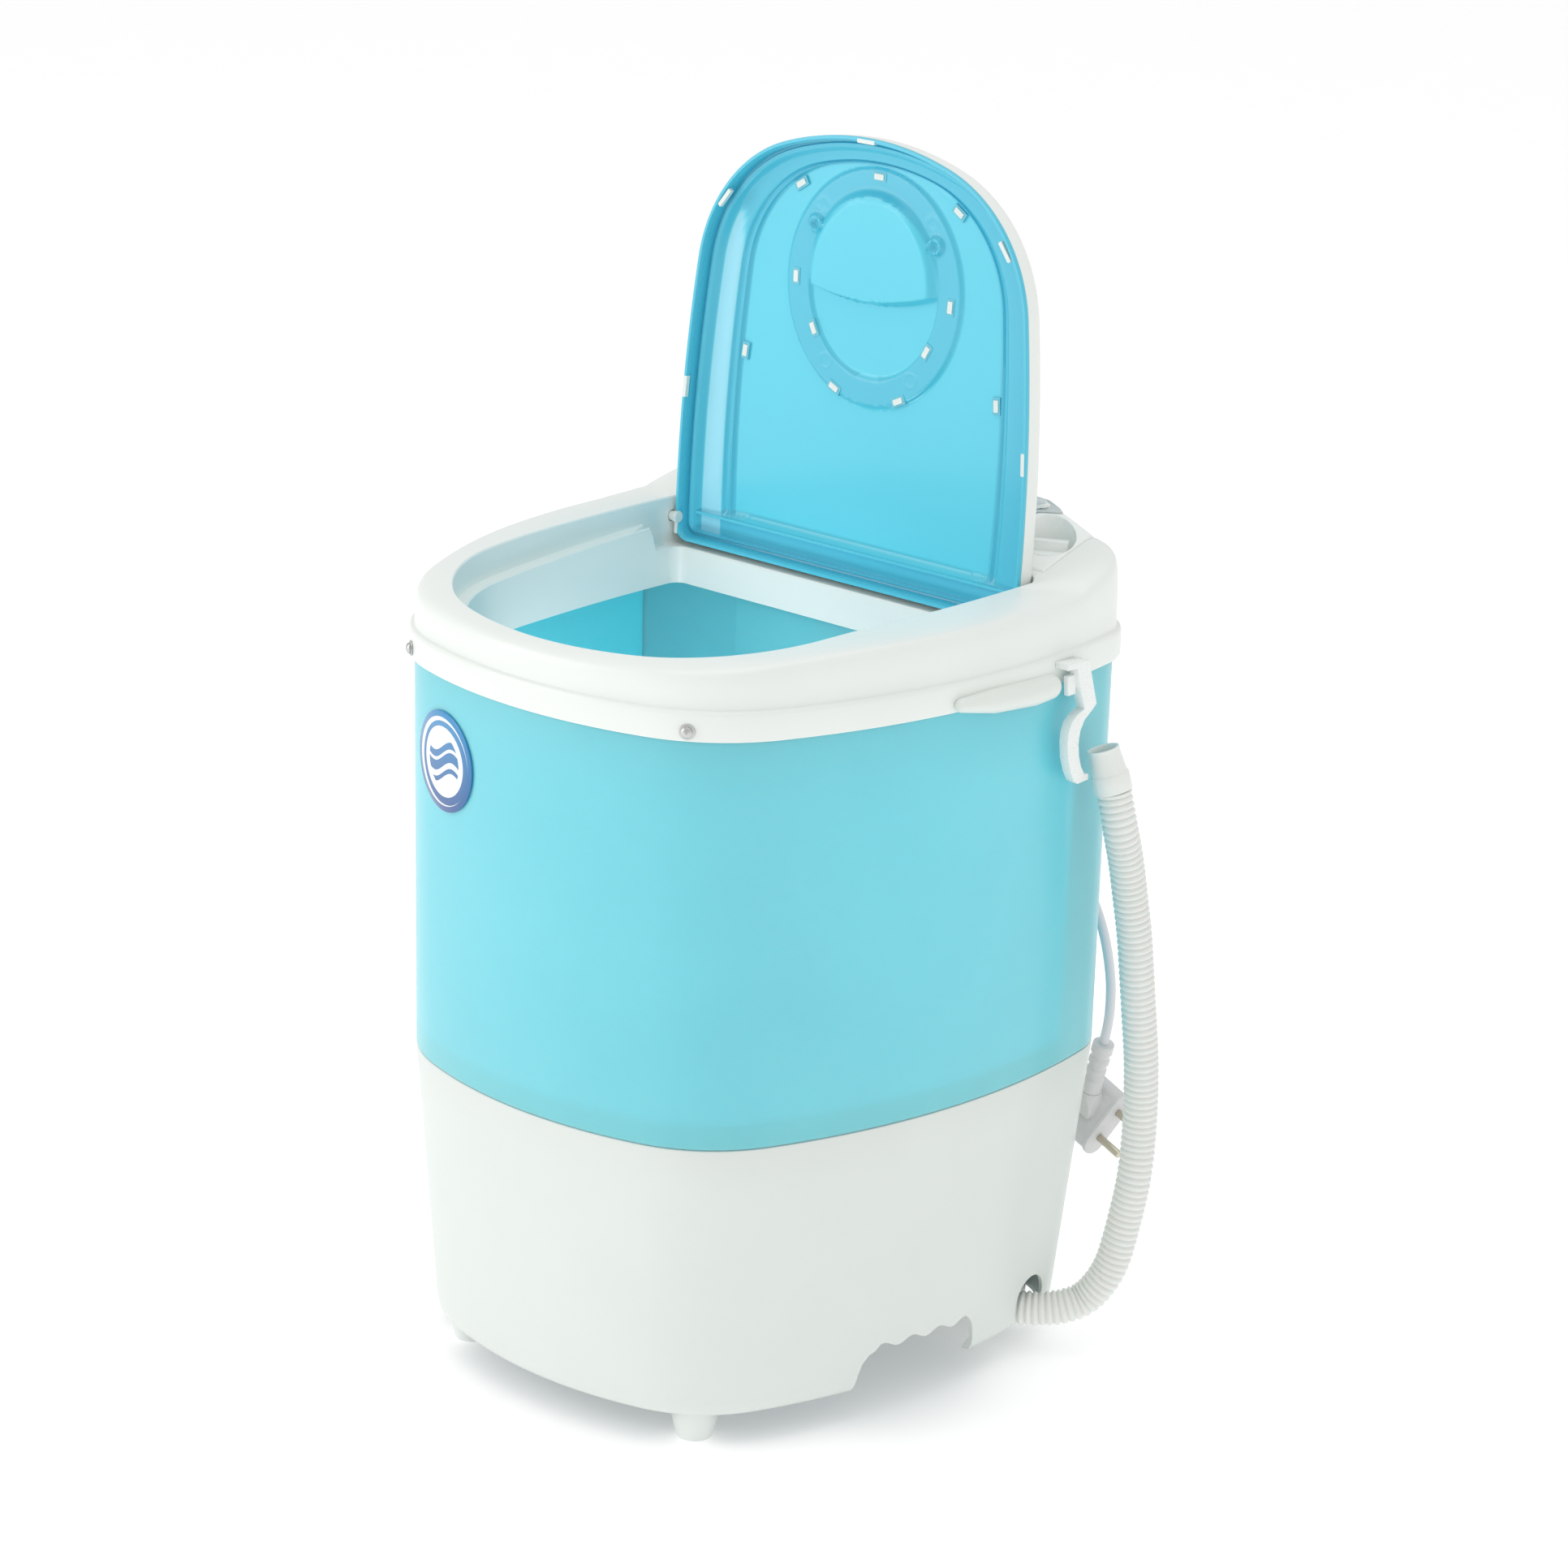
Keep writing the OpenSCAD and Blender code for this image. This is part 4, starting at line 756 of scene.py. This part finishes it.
def lid_panel_rings():
    """Inner face from the rim to the middle, then the back out to the rim again."""
    rings = [lid_points(panel_plan(g), n) for g, n in RIM]
    rings += [lid_points(band_plan(t), under_cover(band_plan(t), n, 1.3)) for t, n in BAND]
    rings += [lid_points(p, under_cover(p, relief(p), 1.3)) for p in PANEL_RINGS]
    for p in PANEL_RINGS[::-3]:
        back = np.minimum(PANEL_N + 1.6, relief(p) + 1.5)
        rings.append(lid_points(p, under_cover(p, back, 0.1)))
    for t, n in ((1, 17.9), (0.84, 17.6), (0.66, 16.4), (0.56, 14.6), (0, 14.0)):
        p = band_plan(t)
        rings.append(lid_points(p, under_cover(p, hinge_limit(p, n), 0.1)))
    for g, n in ((6, 11.6), (3.2, 10.4), (3.1, 3.1), (0.3, 3.1), (0, 2.6)):
        rings.append(lid_points(panel_plan(g), hinge_limit(panel_plan(g), n)))
    return rings


def lid_look():
    """The lid's blue in three tones: deep on rim, ring and hinge strip, plain on the panel, pale on the left
    flat where the white cover shows through. The deep on the right flat and on the hinge strip is painted
    shade.
    """
    m = plastic("lid_blue_and_painted_light", (1, 1, 1), 0.32, grain=1400, bump=0.012, mottle=0.015, coat=0.3)
    t = m.node_tree
    shader = t.nodes["Principled BSDF"]
    tone_and_painted_light = t.nodes.new("ShaderNodeAttribute")
    tone_and_painted_light.attribute_name = "tone_and_painted_light"
    ramp_node = t.nodes.new("ShaderNodeValToRGB")
    # Deep, pale and plain blues; the deep also serves as painted shade on the right flat and on the hinge
    # strip.
    ramp_node.color_ramp.elements[0].color = (0.075, 0.52, 0.70, 1)
    ramp_node.color_ramp.elements[1].color = (0.33, 0.76, 0.90, 1)
    ramp_node.color_ramp.elements.new(0.5).color = (0.115, 0.67, 0.83, 1)
    tint = t.nodes.new("ShaderNodeMix")
    tint.data_type = "RGBA"
    tint.blend_type = "MULTIPLY"
    tint.inputs["Factor"].default_value = 1
    t.links.new(tone_and_painted_light.outputs["Fac"], ramp_node.inputs["Fac"])
    t.links.new(ramp_node.outputs["Color"], tint.inputs["A"])
    t.links.new(t.nodes["Color Ramp"].outputs["Color"], tint.inputs["B"])
    t.links.new(tint.outputs["Result"], shader.inputs["Base Color"])
    return m


def lid_tones_and_painted_light(obj):
    """Colour step of each point of the lid panel, with painted shade on the right flat and the hinge strip:
    rim first, then the band, then the panel's rings.
    """
    tone_and_painted_light = np.full(len(obj.data.vertices), 0.15, np.float32)
    k = len(BORDER)
    at = (len(RIM) - 1) * k
    for t in [0] + [t for t, _ in BAND]:
        p = band_plan(t)
        # Pale flat where the white cover shows through, on the left side only: the right flat keeps the deep
        # blue as painted shade.
        flat = ramp((p[:, 1] + 196) / 8) * ramp((-p[:, 0] - 99) / 4) if t <= 0.61 else 0
        tone_and_painted_light[at:at + k] = 0.12 + 0.88 * flat
        at += k
    for p in PANEL_RINGS:
        band = bump_at(p, RING_AT, RING_OUT, 2) - bump_at(p, RING_AT, RING_IN, 2)
        # Deep strip along the hinge, under the rib and the cover: painted shade.
        hinge_painted_shade = ramp((p[:, 1] + 4) / 2)
        tone_and_painted_light[at:at + k] = 0.5 - 0.36 * np.maximum(band, hinge_painted_shade)
        at += k
    obj.data.attributes.new("tone_and_painted_light", "FLOAT", "POINT").data.foreach_set("value", tone_and_painted_light)


lid_panel = loft("lid_panel_skin", lid_panel_rings(), "lid", "blue_lid", ["lid_panel"], look=lid_look(),
                 sharp=50)
lid_tones_and_painted_light(lid_panel)


def lid_blocks(name, blocks, slot, look=None):
    """Small eased blocks on the lid: (x, y, turn, length, width, top depth, bottom depth)."""
    b = bmesh.new()
    for x, y, turn, long, wide, top, bottom in blocks:
        c, q = math.cos(math.radians(turn)), math.sin(math.radians(turn))
        rows = []
        for n, ease in ((top, 0.5), (top + 0.4, 0), (bottom, 0)):
            end, side = long / 2, wide / 2
            half = [(end - ease, side), (end, side - ease), (end, ease - side), (end - ease, -side)]
            corner = half + [(-u, -v) for u, v in half]
            flat = np.array([(x + u * c - v * q, y + u * q + v * c) for u, v in corner])
            rows.append([b.verts.new(v) for v in lid_points(flat, n)])
        b.faces.new(rows[0])
        b.faces.new(rows[-1][::-1])
        for r0, r1 in zip(rows, rows[1:]):
            for j in range(8):
                b.faces.new((r0[j], r0[(j + 1) % 8], r1[(j + 1) % 8], r1[j]))
    mesh = bpy.data.meshes.new(name)
    b.to_mesh(mesh)
    b.free()
    co = np.array([v.co for v in mesh.vertices])
    return piece(name, co, [tuple(f.vertices) for f in mesh.polygons], "lid", slot, look=look)


def mirrored(tabs):
    return [t for x, y, a in tabs for t in ([(x, y, a), (-x, y, 180 - a)] if x else [(x, y, a)])]


ring_slots = mirrored(RING_TABS) + [(0, -225.4, 0)]
slots = mirrored(SLOT_TABS) + ring_slots
depth = {t: 14.3 if t in ring_slots else 15.3 for t in slots}
frames = [(x, y, a, 10.4, 5.6, depth[x, y, a] - 0.35, depth[x, y, a] + 1.2) for x, y, a in slots]
lid_blocks("lid_slot_frames", frames, "blue_lid", look=LOOKS["blue_part"])
tabs = [(x, y, a, 7, 3.4, depth[x, y, a] - 0.9, depth[x, y, a] + 1.6) for x, y, a in slots]
tabs += [(x, y, a, 13, 2.4, -0.3, 2.4) for x, y, a in mirrored(RIM_TABS)]
lid_blocks("lid_snap_tabs", tabs, "white")
lid_blocks("lid_hinge_rib", [(0, -3, 0, 262, 1.5, 9.4, 17.5)], "blue_lid", look=LOOKS["blue_lid"])

# Inset from the lid's outline and depth: over the outside to the window, then back along the inside
COVER_OUT = [(0.4, 3.3), (0.35, 9.5), (0.6, 12), (1.6, 14.4), (3.6, 16.4), (7, 18.2), (12, 19.2), (20, 19.8),
             (32, 20.0), (40, 20.0), (41.6, 19.8), (42, 19.3), (42, 18.3)]
COVER_IN = [(41, 18.25), (20, 18.1), (9, 16.4), (5, 13.6), (3, 11), (2.8, 3.3)]


def cover_rings():
    rings = []
    for g, n in COVER_OUT + COVER_IN:
        p = plan(LID, g, 6)
        room = hinge_limit(p, n)
        if n > 17.9:
            room = np.where(p[:, 1] > -20, 17.9 + 0.02 * (n - 17.9), n)
        rings.append(lid_points(p, room))
    return rings


cover = loft("lid_cover_skin", cover_rings(), "lid", "white", ["lid_cover"], look=LOOKS["white_top"])
PIN = [(130.8, 0.1), (130.8, 3.2), (131.2, 3.6), (133.6, 3.6), (134, 3.4), (134, 3), (144.4, 3), (145, 2.4),
       (145, 0.1)]


def pin_ring(x, r):
    t = np.arange(40) * 2 * np.pi / 40
    return np.column_stack([np.full(40, x), HINGE[0] + r * np.cos(t), HINGE[1] + r * np.sin(t)]) * MM


for side, name in ((1, "right"), (-1, "left")):
    loft(f"lid_pin_{name}", [pin_ring(side * x, r) for x, r in PIN], "lid", "white", closed=False)


def ellipse(a, b, centre, n=128):
    t = np.arange(n) * 2 * np.pi / n
    return np.stack([centre[0] + a * np.cos(t), centre[1] + b * np.sin(t)], 1)


HANDLE = [(66, 70, 18.3), (66, 70, 19.6), (65, 69, 20.3), (62, 66, 20.5), (54, 58, 20.5), (51, 55, 20.3),
          (50, 54, 19.6), (50, 54, 18.3)]
handle_rings = [lid_points(ellipse(a, b, RING_AT), n) for a, b, n in HANDLE]
loft("handle_skin", handle_rings, "lid", "ring_white", ["handle_ring"])

# ---------- control deck ----------

KNOB = (118, 137)


def deck_grid(x0, x1, y0, y1, step, height):
    xs, ys = np.arange(x0, x1 + step / 2, step), np.arange(y0, y1 + step / 2, step)
    gx, gy = np.meshgrid(xs, ys, indexing="ij")
    return np.column_stack([gx.ravel(), gy.ravel(), height(gx.ravel(), gy.ravel())]), len(xs), len(ys)


def deck_top(x, y):
    z = deck_z(x, y)
    edge = np.minimum(np.minimum(x + 135.6, 135.6 - x), np.minimum(y - 110.9, 156.6 - y))
    z = z - 1.8 * (1 - np.clip(edge / 1.8, 0, 1)) ** 2
    knob = np.hypot(x - KNOB[0], y - KNOB[1])
    z = np.where(knob < 15.8, z - (z - 481.2) * (1 - ramp((knob - 13.9) / 1.9)), z)
    lens = np.hypot(x, y - 305.5) < 188.9
    return np.where(lens & (y < 156), z - 0.5, z)


def deck_mesh():
    """The deck's top on a grid, its underside 2.4 mm below and a skirt down into the frame round its edge."""
    verts, nx, ny = deck_grid(-135.6, 135.6, 110.9, 156.6, 0.6, deck_top)
    x, y, z = verts.T
    edge = np.minimum(135.6 - np.abs(x), np.minimum(y - 110.9, 156.5 - y))
    skirt_z = np.minimum(z - 2.4, rim_z(y) - 5)
    under = np.column_stack([verts[:, :2], np.where(edge < 1.9, skirt_z, z - 2.4)])
    m = nx * ny
    corners = [i * ny + j for i in range(nx - 1) for j in range(ny - 1)]
    faces = [(c, c + ny, c + ny + 1, c + 1) for c in corners]
    faces += [tuple(v + m for v in f[::-1]) for f in faces]
    rim = [i * ny for i in range(nx)] + [(nx - 1) * ny + j for j in range(1, ny)]
    rim += [i * ny + ny - 1 for i in range(nx - 2, -1, -1)] + list(range(ny - 2, 0, -1))
    faces += [(a, b, b + m, a + m) for a, b in zip(rim, rim[1:] + rim[:1])]
    return np.vstack([verts, under]) * MM, faces


piece("deck_skin", *deck_mesh(), "cabinet", "deck_white", ["control_panel"])


def patch(name, outline, steps, slot, nodes):
    """Cap that follows the deck: rings of the outline drawn in towards its middle, each at its own height."""
    centre = outline.mean(0)
    rings = []
    for share, inset, h in steps:
        d = outline - centre
        p = centre + d * share - inset * d / np.linalg.norm(d, axis=1)[:, None]
        rings.append(ring(p, deck_z(p[:, 0], p[:, 1]) + h) * MM)
    return loft(name, rings, "cabinet", slot, nodes, closed=False)


def lens_outline():
    a = np.linspace(-math.asin(113.5 / 188.5), math.asin(113.5 / 188.5), 90)
    low = np.stack([188.5 * np.sin(a), 305.5 - 188.5 * np.cos(a)], 1)
    x = np.linspace(113.5, -113.5, 90)[1:-1]
    return np.vstack([low, np.stack([x, np.full(len(x), 155.9)], 1)])


FIELD = [(1, 0, 0.1), (1, 0, 0.5), (1, 0.6, 0.8), (0.8, 0, 0.8), (0.5, 0, 0.8), (0.2, 0, 0.8), (0.02, 0, 0.8)]
CAP_EDGE = [(1, 0, 1.1), (1, 0, 2.4), (1, 0.5, 2.9), (0.9, 0.2, 2.9), (0.5, 0, 2.9), (0.05, 0, 2.9)]
CAP = [(1, 1.4, 2.6), (1, 1.5, 3.3), (1, 2.2, 3.6), (0.8, 0, 3.8), (0.5, 0, 3.9),
       (0.2, 0, 4.0), (0.02, 0, 4.0)]
patch("emblem_field", lens_outline(), FIELD, "grey_trim", ["emblem_plate"])
cap = lens_outline() * (0.955, 0.8) + (0, 28.6)
cap = sum(np.roll(cap, i, 0) for i in range(-3, 4)) / 7
patch("emblem_oval_edge", cap, CAP_EDGE, "deck_white", [])
patch("emblem_oval", cap, CAP, "cap_grey", ["emblem_cap"])

# ---------- badge ----------


BADGE_R = 29.5
BADGE_Z = 381
BADGE_TURN = math.radians(-14.1)


def badge():
    """Shallow disc bent to the tub's front, with its own flat coordinates for the print."""
    k = 0.978 + 0.004 * 0.75
    centre_y = TAPER_Y + (100 - TAPER_Y) * k
    front_r = 280 * k
    t = np.arange(96) * 2 * np.pi / 96
    rings = []
    for r, out in ((BADGE_R, 0.4), (BADGE_R, 1.2), (28.9, 1.5), (22, 1.5), (14, 1.5), (6, 1.5), (0.5, 1.5)):
        a = BADGE_TURN - math.pi / 2 + r * np.cos(t) / front_r
        x, y = (front_r + out) * np.cos(a), centre_y + (front_r + out) * np.sin(a)
        rings.append(np.column_stack([x, y, BADGE_Z + r * np.sin(t)]) * MM)
    obj = loft("badge_disc", rings, "cabinet", "badge_blue", ["badge"], closed=False, look=badge_look())
    face = obj.data.uv_layers.new(name="face")
    for loop in obj.data.loops:
        v = obj.data.vertices[loop.vertex_index].co / MM
        a = math.atan2(v.y - centre_y, v.x) + math.pi / 2
        face.data[loop.index].uv = (front_r * (a - BADGE_TURN) / BADGE_R, (v.z - BADGE_Z) / BADGE_R)


badge()

# ---------- CAD parts with eased edges ----------

# Width of the eased edge on each carried-over part, in mm
EASED = {
    "side_grips": 0, "frame_screws": 0.15, "screw_washers": 0.1, "hinge_bushes": 0.2, "timer_knob": 0.5,
    "timer_shaft": 0.2, "timer_body": 0.5, "water_inlet": 0.5, "inlet_chute": 0.5, "pulsator": 1.0,
    "pulsator_screw": 0.2, "drive_shaft": 0.2, "large_pulley": 0.3, "pulley_nut": 0.2,
    "bearing_housing": 0.4, "housing_screws": 0.2, "upper_bush": 0.2, "lower_bush": 0.2,
    "shaft_seal": 0.2, "drive_belt": 0.3, "motor_body": 0.6, "motor_bracket": 0.3, "motor_bolts": 0.2,
    "motor_shaft": 0.2, "motor_pulley": 0.3, "capacitor": 1.0, "capacitor_clip": 0.2,
    "capacitor_screw": 0.2, "terminal_block": 0.5, "wiring": 0, "drain_grid": 0.4, "drain_pipe": 0.4,
    "hose_clamp": 0.2, "hose_cuff": 0.25, "hose_hook": 0.6, "feet": 0.7, "foot_screws": 0.2,
    "cord_hook": 0.5, "cord_gland": 0.3, "coil_tie": 0.3, "plug_relief": 0.3, "plug_body": 0.6,
    "plug_pins": 0.6,
}
SLOT = {s["node"]: s["material_slot"] for s in frame["record"]["subparts"]}
for node, bevel in EASED.items():
    dressed(node, SLOT[node], bevel)

# ---------- studio floor ----------

floor_mesh = bpy.data.meshes.new("floor")
floor_mesh.from_pydata([(-40, -40, 0), (40, -40, 0), (40, 40, 0), (-40, 40, 0)], [], [(0, 1, 2, 3)])
floor = bpy.data.objects.new("floor", floor_mesh)
paint = plastic("floor_paint", (0.96, 0.96, 0.96), 0.6, grain=300, bump=0.02, mottle=0.005)
paint.node_tree.nodes["Principled BSDF"].inputs["Emission Color"].default_value = (1, 1, 1, 1)
paint.node_tree.nodes["Principled BSDF"].inputs["Emission Strength"].default_value = 0.29
floor_mesh.materials.append(paint)
bpy.context.scene.collection.objects.link(floor)
floor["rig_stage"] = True

low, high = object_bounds()
